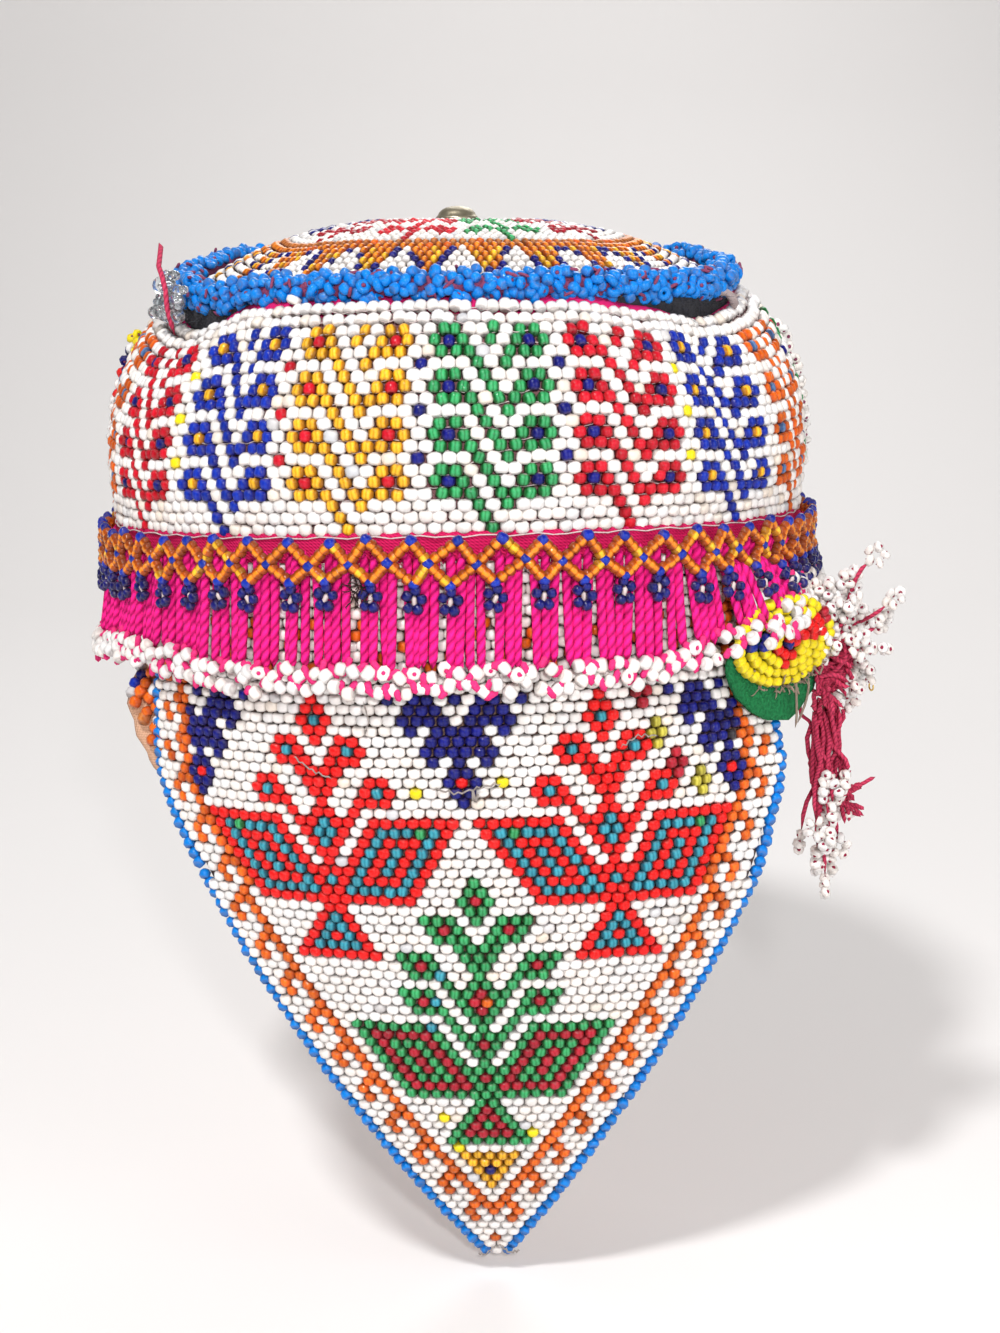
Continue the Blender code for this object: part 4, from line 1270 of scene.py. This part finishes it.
flap_white, flap_colours, edge_beads = [], [], []
for line in range(FLAP_ROWS):
    row = line - FLAP_HIDDEN_ROWS
    down = (line + 0.5) * FLAP_PITCH
    half = flap_half_width(down) / FLAP_COLUMN
    columns = range(-28, 29) if row % 2 == 0 else [place + 0.5 for place in range(-28, 28)]
    for column in columns:
        edge = half - abs(column)
        if edge < 0.5:
            continue
        letter = flap_letter(row, column, edge)
        across = column * FLAP_COLUMN
        place = flap_point(across, down)
        lower = flap_point(across, down + 0.001) - flap_point(across, down - 0.001)
        ahead = flap_point(across + 0.001, down) - flap_point(across - 0.001, down)
        outward = lower.cross(ahead).normalized()
        outward = outward if outward.y < 0 else -outward
        full = letter in WHITES
        width = FLAP_COLUMN * (chance.uniform(0.49, 0.545) if full else chance.uniform(0.46, 0.50))
        tall = FLAP_PITCH * chance.uniform(0.48, 0.54)
        place = place - outward * (FLAP_BEAD_SEAT + chance.gauss(0, 0.00010))
        place += shaken(0.00010)
        lean = ahead.normalized() * chance.gauss(0, 0.10) + outward * chance.gauss(0, 0.07)
        turned = facing(lower.normalized() + lean, outward)
        (flap_white if full else flap_colours).append((place, turned, (width, FLAP_BEAD_DEPTH, tall), letter))
    if down < EDGE_TOP:
        continue
    for side in (-1, 1):
        slope = (flap_half_width(down) - flap_half_width(down + 0.001)) / 0.001
        off = (half + 0.10) * FLAP_COLUMN * side
        place = flap_point(off, down, 0.0013)
        lower = flap_point(off - side * slope * 0.001, down + 0.001) - place
        size = EDGE_BEAD * chance.uniform(0.92, 1.06)
        place += shaken(0.00012)
        turned = facing(lower + shaken(0.00025), Vector((0.3 * side, -1.0, 0.0)))
        edge_beads.append((place, turned, sized(size, 0.86), "u"))
belongs(strung("flap_white_beads", barrel(), flap_white, china), "flap_beads", "back_flap")
belongs(strung("flap_coloured_beads", barrel(), flap_colours, clear_colours), "flap_beads")
belongs(strung("flap_edge_beads", barrel(), edge_beads, azure), "blue_edge", "flap_edging")


def flap_cloth_place(across, down):
    length = FLAP_LENGTH * (0.004 + 0.99 * down)
    return flap_point((2 * across - 1) * flap_half_width(length) * 0.99, length, 0.0023)


BEHIND_FLAP = (0.0, 0.3, -0.15)
form = panel(30, 36, flap_cloth_place)
flap_lining = cloth_piece("flap_lining", form, LINING_WALL, ground, BEHIND_FLAP, lining_peach)
belongs(flap_lining, "flap_beads")


# Loose sewing threads: a few pale ends that lie on the flap, a knotted one in its middle and
# a short dark tuft in the fringe, left from old repairs.
FLAP_THREADS = (
    (0.00022, ((-0.0065, 0.0498), (-0.0010, 0.0510), (0.0040, 0.0496), (0.0085, 0.0488))),
    (0.00030, ((0.0022, 0.0500), (0.0026, 0.0530), (0.0033, 0.0512))),
    (0.00024, ((0.0022, 0.0500), (0.0020, 0.0528))),
    (0.00018, ((-0.0375, 0.0430), (-0.0330, 0.0462), (-0.0285, 0.0480))),
    (0.00016, ((-0.0195, 0.0300), (-0.0188, 0.0345), (-0.0202, 0.0380))),
    (0.00018, ((0.0355, 0.0420), (0.0400, 0.0395), (0.0450, 0.0400))),
    (0.00026, ((0.0006, 0.1795), (0.0032, 0.1830), (0.0058, 0.1822))),
    (0.00022, ((0.0000, 0.1800), (-0.0028, 0.1838), (-0.0046, 0.1834))),
)
TUFT_TURN = -12.5
TUFT_THREADS = 26
TUFT_STRIDE = 0.0008
TUFT_RADIUS = 0.00014


def wandering(start, heading, steps, loose, stride):
    """A path that turns a little by chance at each step, as a loose thread does."""
    path = [start]
    for _ in range(steps):
        heading = (heading + shaken(loose)).normalized()
        path.append(path[-1] + heading * stride())
    return path


def flap_thread(form, marks, radius, lift=0.0005):
    """A thread over the flap's beads, through places given as across and down from the flap's top."""
    path = []
    for (first, low), (second, high) in zip(marks, marks[1:]):
        for step in range(6):
            share = step / 6
            wave = 0.0004 * math.sin(2.6 * (len(path) + marks[0][0] * 300))
            across, down = first + (second - first) * share, low + (high - low) * share
            path.append(flap_point(across, down + wave, -lift))
    path.append(flap_point(*marks[-1], -lift))
    lay_cord(form, path, Vector((0, -1, 0)), radius, sides=5)


threads = bmesh.new()
for radius, marks in FLAP_THREADS:
    flap_thread(threads, marks, radius)
pale_thread = thread_finish("loose_pale_thread", (0.72, 0.64, 0.58), (0.44, 0.38, 0.36))
belongs(grown("loose_threads", threads, pale_thread), "flap_beads")
tuft = bmesh.new()
for _ in range(TUFT_THREADS):
    turn = math.radians(TUFT_TURN + chance.gauss(0, 0.7))
    start = fringe_point(turn, 0.0060 + chance.uniform(-0.002, 0.003), -0.0010)
    heading = Vector((chance.gauss(0, 0.5), -0.4, chance.gauss(-0.2, 0.7)))
    path = wandering(start, heading, 5, 0.5, lambda: TUFT_STRIDE)
    lay_cord(tuft, path, Vector((0, -1, 0)), TUFT_RADIUS, sides=4)
dark_thread = thread_finish("dark_thread_tuft", (0.10, 0.06, 0.05), (0.03, 0.02, 0.02))
belongs(grown("fringe_dark_tuft", tuft, dark_thread), "pink_cord")


# Lining edge: at the flap's left upper corner its peach lining cloth sticks out past the blue
# edge, frayed, with some loose orange, clear and navy beads of the border on it.
LINING_TOP = FRINGE_TOP + 0.0150 - BAND_HEIGHT
LINING_HEIGHT = 0.0420
LINING_PAST_EDGE = 0.0170
LINING_EDGE_WALL = 0.0010
LINING_OPENS = ((0.25, 0.0), (0.55, 1.0))
LINING_BEAD = 0.00150
LINING_BEAD_OUT = 0.0009
LINING_BEADS = (
    (0.62, 0.36, "o"), (0.80, 0.38, "n"), (0.90, 0.34, "k"), (0.70, 0.42, "o"), (0.58, 0.45, "w"),
    (0.78, 0.47, "o"), (0.66, 0.50, "o"), (0.84, 0.53, "o"), (0.58, 0.55, "o"), (0.72, 0.58, "o"),
    (0.62, 0.63, "w"), (0.80, 0.62, "x"), (0.68, 0.67, "o"), (0.58, 0.71, "o"), (0.74, 0.74, "o"),
    (0.62, 0.79, "x"), (0.88, 0.43, "b"), (0.92, 0.48, "k"),
)


def lining_edge_place(across, down):
    outer = FLAP_HALF + LINING_PAST_EDGE * (1 - 0.96 * down ** 1.5) + 0.0004 * math.sin(37 * down)
    inner = FLAP_HALF - 0.0100
    ripple = 0.0005 * math.sin(9 * down + 4 * across) * across
    reach = inner + (outer - inner) * across
    beyond = max(0.0, reach - FLAP_HALF)
    opened = 0.5 * eased(LINING_OPENS, down)
    place = flap_point(-reach, LINING_TOP + LINING_HEIGHT * down, 0.0031 + ripple)
    return place + Vector((-0.82, -0.57, 0.0)) * (beyond * opened)


peach = cloth_finish("peach_lining_cotton", (0.84, 0.52, 0.36), (0.55, 0.30, 0.18), 46, 70)
form = panel(14, 22, lining_edge_place)
lining_edge = cloth_piece("peach_lining_edge", form, LINING_EDGE_WALL, peach, BEHIND_FLAP)
belongs(lining_edge, "peach_lining", "lining_edge")

lining_beads = []
for across, down, letter in LINING_BEADS:
    place = lining_edge_place(across, down)
    below = lining_edge_place(across, down + 0.02) - place
    outward = Vector((-0.7, -0.8, 0.05))
    size = LINING_BEAD * chance.uniform(0.9, 1.15)
    turned = facing(below + shaken(0.0004), outward)
    lining_beads.append((place + outward * LINING_BEAD_OUT, turned, sized(size, 0.85), letter))
belongs(strung("lining_edge_beads", barrel(), lining_beads, clear_colours), "peach_lining")


# Medallion: rows of yellow beads on a small domed oval, with navy and red diamonds, sewn on a
# crescent of green felt. Tufts of beige thread come out between the felt and the beads.
MEDALLION_RADIUS = 0.0170
MEDALLION_SQUASH = 0.58
MEDALLION_DROP = 0.0920
MEDALLION_FACE = math.radians(43.0)
MEDALLION_TURN = FLAP_HALF / wall_radius(0.0, 1.0) - math.radians(2.0)
MEDALLION_RINGS = (0.93, 0.72, 0.51, 0.30, 0.09)
MEDALLION_PITCH = 0.00262
MEDALLION_BEAD = 0.00136
MEDALLION_BEAD_TALL, MEDALLION_BEAD_TALLER = 0.00112, 0.00034
MEDALLION_LIFT = 0.0018
MEDALLION_OUT, MEDALLION_DOME = 0.0030, 0.0022
OVAL_GIRTH = 0.86
MEDALLION_MARKS = (
    (-0.62, 0.22, 0.26, 0.42, "b", "l"), (-0.08, -0.12, 0.24, 0.46, "r", "n"),
    (0.24, 0.36, 0.20, 0.40, "r", "b"), (0.58, 0.10, 0.22, 0.36, "r", "b"),
    (0.05, 0.55, 0.16, 0.26, "n", "n"), (0.80, 0.42, 0.14, 0.24, "d", "a"),
)
DISC_RADIUS = 0.0175
DISC_SQUASH = 0.74
DISC_DROP = 0.0048
DISC_OUT = 0.0016
DISC_CUT = (0.20, 220, 30)
beside = MEDALLION_DROP + DISC_DROP + WALL_BASE - BAND_HEIGHT
MEDALLION_SEAT = flap_point(FLAP_HALF, beside).xy.length + 0.0040
seat = around(MEDALLION_SEAT, MEDALLION_TURN, -MEDALLION_DROP)
face_out, face_side = ways(MEDALLION_FACE)


def on_medallion(across, up, out):
    return seat + face_side * across + face_out * out + raised(up)


def felt_disc_place(across, down):
    angle, share = math.tau * across, 0.01 + 0.99 * down
    lobes = 0.97 + 0.025 * math.sin(5 * angle + 1) + 0.012 * math.sin(17 * angle) * share
    reach = DISC_RADIUS * share * lobes
    cut, middle, half_width = DISC_CUT
    reach *= 1 - cut * math.exp(-((math.degrees(angle) - middle) / half_width) ** 2)
    wave = (0.0007 * math.sin(3 * angle) + 0.0004 * math.sin(8 * angle)) * share
    return on_medallion(
        reach * math.cos(angle), reach * DISC_SQUASH * math.sin(angle) - DISC_DROP, DISC_OUT + wave)


felt_green = uneven_finish(
    "green_felt", 0.95, (0.0, 0.03, 0.01), (0.03, 0.34, 0.11), 1300.0, 5.0, 0.0009, specular=0.2)
form = panel(32, 7, felt_disc_place, closed=True)
hole_filled(form, lambda edge: edge.calc_length() < 0.0003)
disc = cloth_piece("medallion_felt_disc", form, FELT_WALL, felt_green, toward=seat - face_out)
belongs(disc, "green_felt", "medallion_felt")


def medallion_letter(across, up):
    for middle, height, wide, tall, colour, heart in MEDALLION_MARKS:
        off = abs(across - middle) / wide + abs(up - height) / tall
        if off < 1.0:
            return heart if off < 0.34 else colour
    return "l" if chance.random() > 0.05 else "a"


medallion = []
for ring, share in enumerate(MEDALLION_RINGS):
    count = max(3, round(math.tau * MEDALLION_RADIUS * share * OVAL_GIRTH / MEDALLION_PITCH))
    for number in range(count):
        angle = math.tau * (number + 0.5 * (ring % 2)) / count
        across = share * math.cos(angle)
        up = share * math.sin(angle)
        dome = MEDALLION_OUT + MEDALLION_DOME * (1 - share * share)
        place = on_medallion(
            across * MEDALLION_RADIUS, up * MEDALLION_RADIUS * MEDALLION_SQUASH + MEDALLION_LIFT, dome)
        place += shaken(0.00012)
        spoke = face_side * across + raised(up * MEDALLION_SQUASH + 0.001)
        outward = face_out + spoke * (0.5 * share)
        width = MEDALLION_BEAD * chance.uniform(0.92, 1.08)
        tall = MEDALLION_BEAD_TALL + MEDALLION_BEAD_TALLER * abs(math.cos(angle))
        medallion.append((place, facing(spoke, outward), (width, width, tall), medallion_letter(across, up)))
belongs(strung("medallion_bead_rows", barrel(), medallion, clear_colours), "yellow_beads", "medallion_beads")

BEIGE_THREADS = 60
BEIGE_RING = 0.0142
BEIGE_STRIDE = 0.0007
BEIGE_RADIUS = (0.00016, 0.00032)
LOOSE_ENDS = ((0.0052, 0.0118), (0.0076, 0.0108))
tufts = bmesh.new()
for _ in range(BEIGE_THREADS):
    angle = math.radians(chance.gauss(300, 32))
    start = on_medallion(
        BEIGE_RING * math.cos(angle), BEIGE_RING * MEDALLION_SQUASH * math.sin(angle) - 0.0002,
        chance.uniform(0.0022, 0.0034))
    heading = face_side * chance.gauss(0.3, 0.7) + raised(chance.uniform(-1.0, 0.3))
    heading += face_out * chance.uniform(0.1, 0.5)
    path = wandering(start, heading, 6, 0.55, lambda: BEIGE_STRIDE)
    lay_cord(tufts, path, face_out, chance.uniform(*BEIGE_RADIUS), sides=4)
for across, drop in LOOSE_ENDS:
    path = []
    for step in range(9):
        share = step / 8
        swing = 0.0012 * math.sin(3.0 * share + across * 900) - 0.0016 * share ** 2
        path.append(on_medallion(across + swing, -0.0076 - drop * share, 0.0040 - 0.0006 * share))
    lay_cord(tufts, path, face_out, 0.00030, sides=5)
beige = thread_finish("beige_tuft_thread", (0.70, 0.55, 0.44), (0.46, 0.32, 0.25))
belongs(grown("medallion_thread_tufts", tufts, beige), "yellow_beads")


# Tassels: crimson two-ply threads spread from two knots beside the medallion, most with a
# loop of small white beads at the end, threaded on the same crimson.
TASSEL_TURN = FLAP_HALF / wall_radius(0.0, 1.0) + math.radians(12.1)
TASSEL_PLY = 0.0022
TASSEL_BEAD = 0.00138
TASSEL_DROP = 0.0055
TASSEL_RADIUS = (0.00046, 0.00062)
STRAND_CURL = 0.0011
STRAND_SPREAD = 0.0016
STRAND_SAG = 0.0030
STRAND_STEPS = 10
LOOP_RADIUS = 0.00040
UPPER_LOCKS = ((.02, .80, .16), (.22, .60, .22), (.36, .22, .26), (.34, -.30, .20), (-.26, .44, .16))
LOWER_LOCKS = ((.02, -.98, .05), (.16, -.80, .14), (-.14, -.62, .04))
UPPER_REACH, UPPER_STRANDS, UPPER_LOOSE = 0.0290, 17, 0.17
LOWER_REACH, LOWER_STRANDS, LOWER_LOOSE = 0.0460, 14, 0.08
KNOT_THREADS, KNOT_THREADS_UPPER = 86, 60
KNOT_STRIDE = (0.0008, 0.0013)
tassel_out, tassel_side = ways(TASSEL_TURN)
crimson = cord_finish(
    "crimson_tassel_thread", 0.00025, scale=2600.0, hollow=0.7, fibre=0.5, ply=0.6,
    dark=(0.16, 0.006, 0.03), light=(0.66, 0.05, 0.12))


def add_tassel(name, head, locks, reach, strands, loose, node):
    form = bmesh.new()
    beads, plugs = [], []
    for side, up, out in locks:
        way = tassel_side * side + raised(up) + tassel_out * out
        for _ in range(strands):
            spread = Vector([max(-1.5, min(1.5, chance.gauss(0, 1))) * loose for _ in range(3)])
            curl, second = shaken(STRAND_CURL), shaken(STRAND_CURL)
            far = reach * chance.choice((0.30, 0.42, 0.52, 0.62, 0.76)) * chance.uniform(0.9, 1.08)
            start = head + shaken(STRAND_SPREAD)
            path = []
            for step in range(STRAND_STEPS + 1):
                share = step / STRAND_STEPS
                wave = curl * math.sin(5.0 * share) + second * (math.sin(9.0 * share) * 0.7)
                sag = raised(-STRAND_SAG * share * share * (1 if up < 0.3 else 0.3))
                path.append(start + (way + spread * share) * (far * share) + wave + sag)
            lay_cord(form, path, tassel_out, chance.uniform(*TASSEL_RADIUS), sides=5, ply=TASSEL_PLY)
            if far < reach * 0.36 or (far < reach * 0.6 and chance.random() < (0.1 if up > 0 else 0.6)):
                continue
            end, along = path[-1], (path[-1] - path[-2]).normalized()
            across = along.cross(tassel_out + shaken(0.4)).normalized()
            number, heading = chance.choice((4, 5, 5, 6)), chance.uniform(0, math.tau)
            ring = LOOP_RADIUS * number
            for item in range(number):
                angle = heading + math.tau * item / number
                spot = end + along * (ring + ring * math.cos(angle)) + across * (ring * math.sin(angle))
                size = TASSEL_BEAD * chance.uniform(0.92, 1.08)
                hole = across * math.cos(angle) - along * math.sin(angle)
                hole += tassel_out * chance.choice((0.1, 0.5, 1.6))
                turned = facing(hole, tassel_out + across * 0.03)
                beads.append((spot, turned, sized(size, 1.1), "w"))
                plugs.append((spot, turned, sized(size, 0.75, HOLE), "w"))
    belongs(grown(name + "_threads", form, crimson), "crimson_thread", node)
    belongs(strung(name + "_bead_loops", ring_bead(7, 5), beads, china), "crimson_thread")
    belongs(strung(name + "_thread_in_holes", plug(), plugs, crimson), "crimson_thread")


tassel_head = around(MEDALLION_SEAT + 0.0038, TASSEL_TURN, -MEDALLION_DROP - TASSEL_DROP)
add_tassel(
    "upper_tassel", tassel_head, UPPER_LOCKS, UPPER_REACH, UPPER_STRANDS, UPPER_LOOSE, "tassel_upper")
add_tassel(
    "lower_tassel", tassel_head - raised(0.0119), LOWER_LOCKS, LOWER_REACH, LOWER_STRANDS, LOWER_LOOSE,
    "tassel_lower")
knot = bmesh.new()
lower_knot = tassel_head + tassel_side * 0.0035 + tassel_out * 0.0030 + raised(-0.0345)
for number in range(KNOT_THREADS):
    start = tassel_head.lerp(on_medallion(0.0135, -0.0060, 0.0020), chance.uniform(0.0, 1.0))
    start += raised(chance.uniform(-0.0090, 0.0010))
    if number >= KNOT_THREADS_UPPER:
        start = lower_knot + shaken(0.0012)
    heading = tassel_side * chance.gauss(0.9, 0.7) + raised(chance.gauss(-0.2, 0.7))
    heading += tassel_out * chance.uniform(0.2, 1.2)
    path = wandering(start, heading, 8, 0.28, lambda: chance.uniform(*KNOT_STRIDE))
    lay_cord(knot, path, tassel_out, chance.uniform(0.00046, 0.00060), sides=5, ply=TASSEL_PLY)
ring_place = tassel_head + tassel_side * 0.0150 + tassel_out * 0.0080 + raised(-0.0100)
path = [
    tassel_head.lerp(ring_place, step / 8) + raised(0.0008 + 0.0030 * math.sin(math.pi * step / 8))
    for step in range(9)]
lay_cord(knot, path, tassel_out, 0.00040, sides=5, ply=TASSEL_PLY)
belongs(grown("tassel_knotted_threads", knot, crimson), "crimson_thread")
brass_bright = plain_finish("bright_brass", 0.25, (0.72, 0.50, 0.16), metallic=1.0)
little_ring = [(ring_place, facing(tassel_out + tassel_side, raised(1.0)), (0.0012, 0.0012, 0.0007), "w")]
ring_form = ring_bead(16, 8, 0.78, 0.20, 0.3)
belongs(strung("tassel_brass_ring", ring_form, little_ring, brass_bright), "crimson_thread")


# Side trims: at both sides of the wall a chain of bead loops hangs down, white with crimson
# thread in the holes. The left one has a few yellow, navy and red beads at its top.
TRIM_TURN = math.radians(93.0)
TRIM_TOP = 0.18
TRIM_LENGTH = 0.0340
TRIM_LOOPS = 13
TRIM_BEAD = 0.00140
TRIM_RING = (0.0015, 0.0021)


def add_trim(name, turn, letters, node):
    beads, plugs = [], []
    reach = TRIM_LENGTH / (wall_top(turn) - WALL_BASE)
    outward, sideways = ways(turn)
    for step in range(TRIM_LOOPS):
        share = TRIM_TOP + reach * (step + 0.4) / TRIM_LOOPS
        centre = wall_point(turn, share) + outward * 0.0006
        tilt = chance.uniform(-0.5, 0.5)
        ring = chance.uniform(*TRIM_RING)
        heading = chance.uniform(0, math.tau)
        number = chance.choice((4, 5, 5))
        for item in range(number):
            angle = heading + math.tau * item / number
            spot = centre + sideways * (ring * math.cos(angle)) + raised(ring * math.sin(angle))
            spot += outward * (chance.uniform(-0.0004, 0.0010) + tilt * ring * math.cos(angle))
            hole = raised(math.cos(angle)) - sideways * math.sin(angle)
            hole += outward * chance.choice((0.1, 0.4, 1.5))
            size = TRIM_BEAD * chance.uniform(0.9, 1.12)
            turned = facing(hole, outward + sideways * 0.02)
            letter = letters[step] if step < len(letters) and chance.random() < 0.7 else "w"
            beads.append((spot, turned, sized(size, 1.1), letter))
            plugs.append((spot, turned, sized(size, 0.75, HOLE), "w"))
    belongs(strung(name + "_bead_loops", ring_bead(7, 5), beads, china), "white_loops", node)
    belongs(strung(name + "_thread_in_holes", plug(), plugs, thread_red), "white_loops")


add_trim("left_trim", -TRIM_TURN, "lnnrrw", "side_trim_left")
add_trim("right_trim", TRIM_TURN, "", "side_trim_right")


# Spray: a handful of clear glass beads at the left of the rim, silvery inside, on a thick
# crimson thread that stands up past the rim at its free end.
SPRAY_TURN = -70.0
SPRAY_STEP = 0.0029
SPRAY_THREAD_RADIUS = 0.00062
SPRAY = (
    (0, 0, -.1), (2.2, -1.1, .2), (4, .1, 0), (6, -1.2, .2), (1.8, 1.1, .1), (-1.8, -1, .2), (7.8, 0, 0),
    (5.8, 1.1, .1), (10, -1.2, .2), (11.8, 0, .1),
)
SPRAY_SIZES = ((0.0, 0.0, 0.0021), (1.7, 0.8, 0.0014))
SPRAY_THREAD = (
    (-6.0, 4.5, 0.2), (-4.6, 4.1, 0.1), (-1.0, 3.5, 0.4), (3.0, 2.6, 0.9), (6.5, 1.9, 1.1), (8.2, 0.8, 1.1),
    (8.8, -0.6, 1.1), (8.9, -1.9, 0.8), (8.2, -2.8, 0.4),
)
spray_radius = RIM_CENTRE + RIM_CORD + SPRAY_STEP + GAP
spray_height = rim_height(math.radians(SPRAY_TURN)) - 0.3 * RIM_CORD


def on_spray(degrees, up, out):
    """A place in the spray, given in degrees round the rim and in steps up and out."""
    turn = math.radians(SPRAY_TURN + degrees)
    return around(spray_radius + out * SPRAY_STEP, turn, spray_height + up * SPRAY_STEP)


spray, spray_holes = [], []
for degrees, up, out in SPRAY:
    outward = ways(math.radians(SPRAY_TURN + degrees))[0]
    for aside, above, size in SPRAY_SIZES:
        spot = on_spray(degrees + aside, up + above, out + chance.uniform(0.0, 0.6))
        hole = shaken(1.0)
        size *= chance.uniform(0.9, 1.1)
        turned = facing(hole, outward + hole.cross(outward) * 0.01)
        spray.append((spot, turned, sized(size, 0.9), "k"))
        spray_holes.append((spot, turned, sized(size, 0.5, 0.42), "w"))
silver_glass = plain_finish("silvered_clear_glass", 0.05, (0.86, 0.90, 0.92), clear=0.92, coat=0.3)
clear_bead = ring_bead(12, 8, 0.60, 0.42, 0.62)
belongs(strung("spray_clear_beads", clear_bead, spray, silver_glass), "clear_glass", "glass_bead_spray")
silvering = plain_finish("silvered_holes", 0.22, (0.80, 0.80, 0.82), metallic=1.0)
belongs(strung("spray_silvered_holes", small_barrel(), spray_holes, silvering), "clear_glass")
loose = bmesh.new()
path = [on_spray(degrees, up, out) for degrees, up, out in SPRAY_THREAD]
lay_cord(loose, path, ways(math.radians(-66.0))[0], SPRAY_THREAD_RADIUS, ply=0.0034)
belongs(grown("spray_crimson_thread", loose, crimson), "clear_glass")


# The room: a plain pale floor just below the flap's point, that sweeps up into a wall far
# behind, and soft lamps, the key one high at the left as in a plain studio.
FLOOR_WIDTH = 5.0
FLOOR_NEAR, FLOOR_LENGTH = -1.4, 3.2
FLOOR_BELOW = 0.001
SWEEP_RADIUS = 0.6
SWEEP_START = 0.9
SWEEP_WALL = 1.5
LAMPS = (
    ("key", (-0.34, -0.78, 1.02), (0, 0, -0.08), 0.16, 12.5),
    ("near", (0.05, -0.64, 0.11), (0, 0, -0.10), 0.035, 1.9),
    ("fill", (0.95, -0.7, 0.25), (0, 0, -0.10), 0.9, 3.6),
    ("back", (0.2, 1.1, 0.9), (0, 0, -0.05), 1.0, 8),
)


def sweep_place(across, down):
    reach = FLOOR_LENGTH * (1 - down) + FLOOR_NEAR
    beyond = max(0.0, reach - SWEEP_START)
    if beyond < SWEEP_RADIUS:
        height = SWEEP_RADIUS - math.sqrt(max(0.0, SWEEP_RADIUS ** 2 - beyond ** 2))
    else:
        height = SWEEP_RADIUS + 2.2 * (beyond - SWEEP_RADIUS)
    aside = FLOOR_WIDTH * across - FLOOR_WIDTH / 2
    return Vector((aside, min(reach, SWEEP_WALL), cad_box[0][2] - FLOOR_BELOW + height))


floor_pale = plain_finish("floor_pale", 0.9, (0.86, 0.84, 0.83), specular=0.2)
floor = grown("floor", panel(2, 96, sweep_place), floor_pale)
for name, place, target, size, power in LAMPS:
    light = bpy.data.lights.new(name, "AREA")
    light.shape = "DISK"
    light.size = size
    light.energy = power
    holder = bpy.data.objects.new(name, light)
    holder.location = place
    holder.rotation_euler = (Vector(target) - Vector(place)).to_track_quat("-Z", "Y").to_euler()
    bpy.context.scene.collection.objects.link(holder)
world = bpy.context.scene.world or bpy.data.worlds.new("room")
bpy.context.scene.world = world
world.use_nodes = True
sky = world.node_tree.nodes["Background"]
sky.inputs["Color"].default_value = (0.95, 0.93, 0.92, 1.0)
sky.inputs["Strength"].default_value = 0.32
bpy.context.scene.view_settings.view_transform = "Standard"
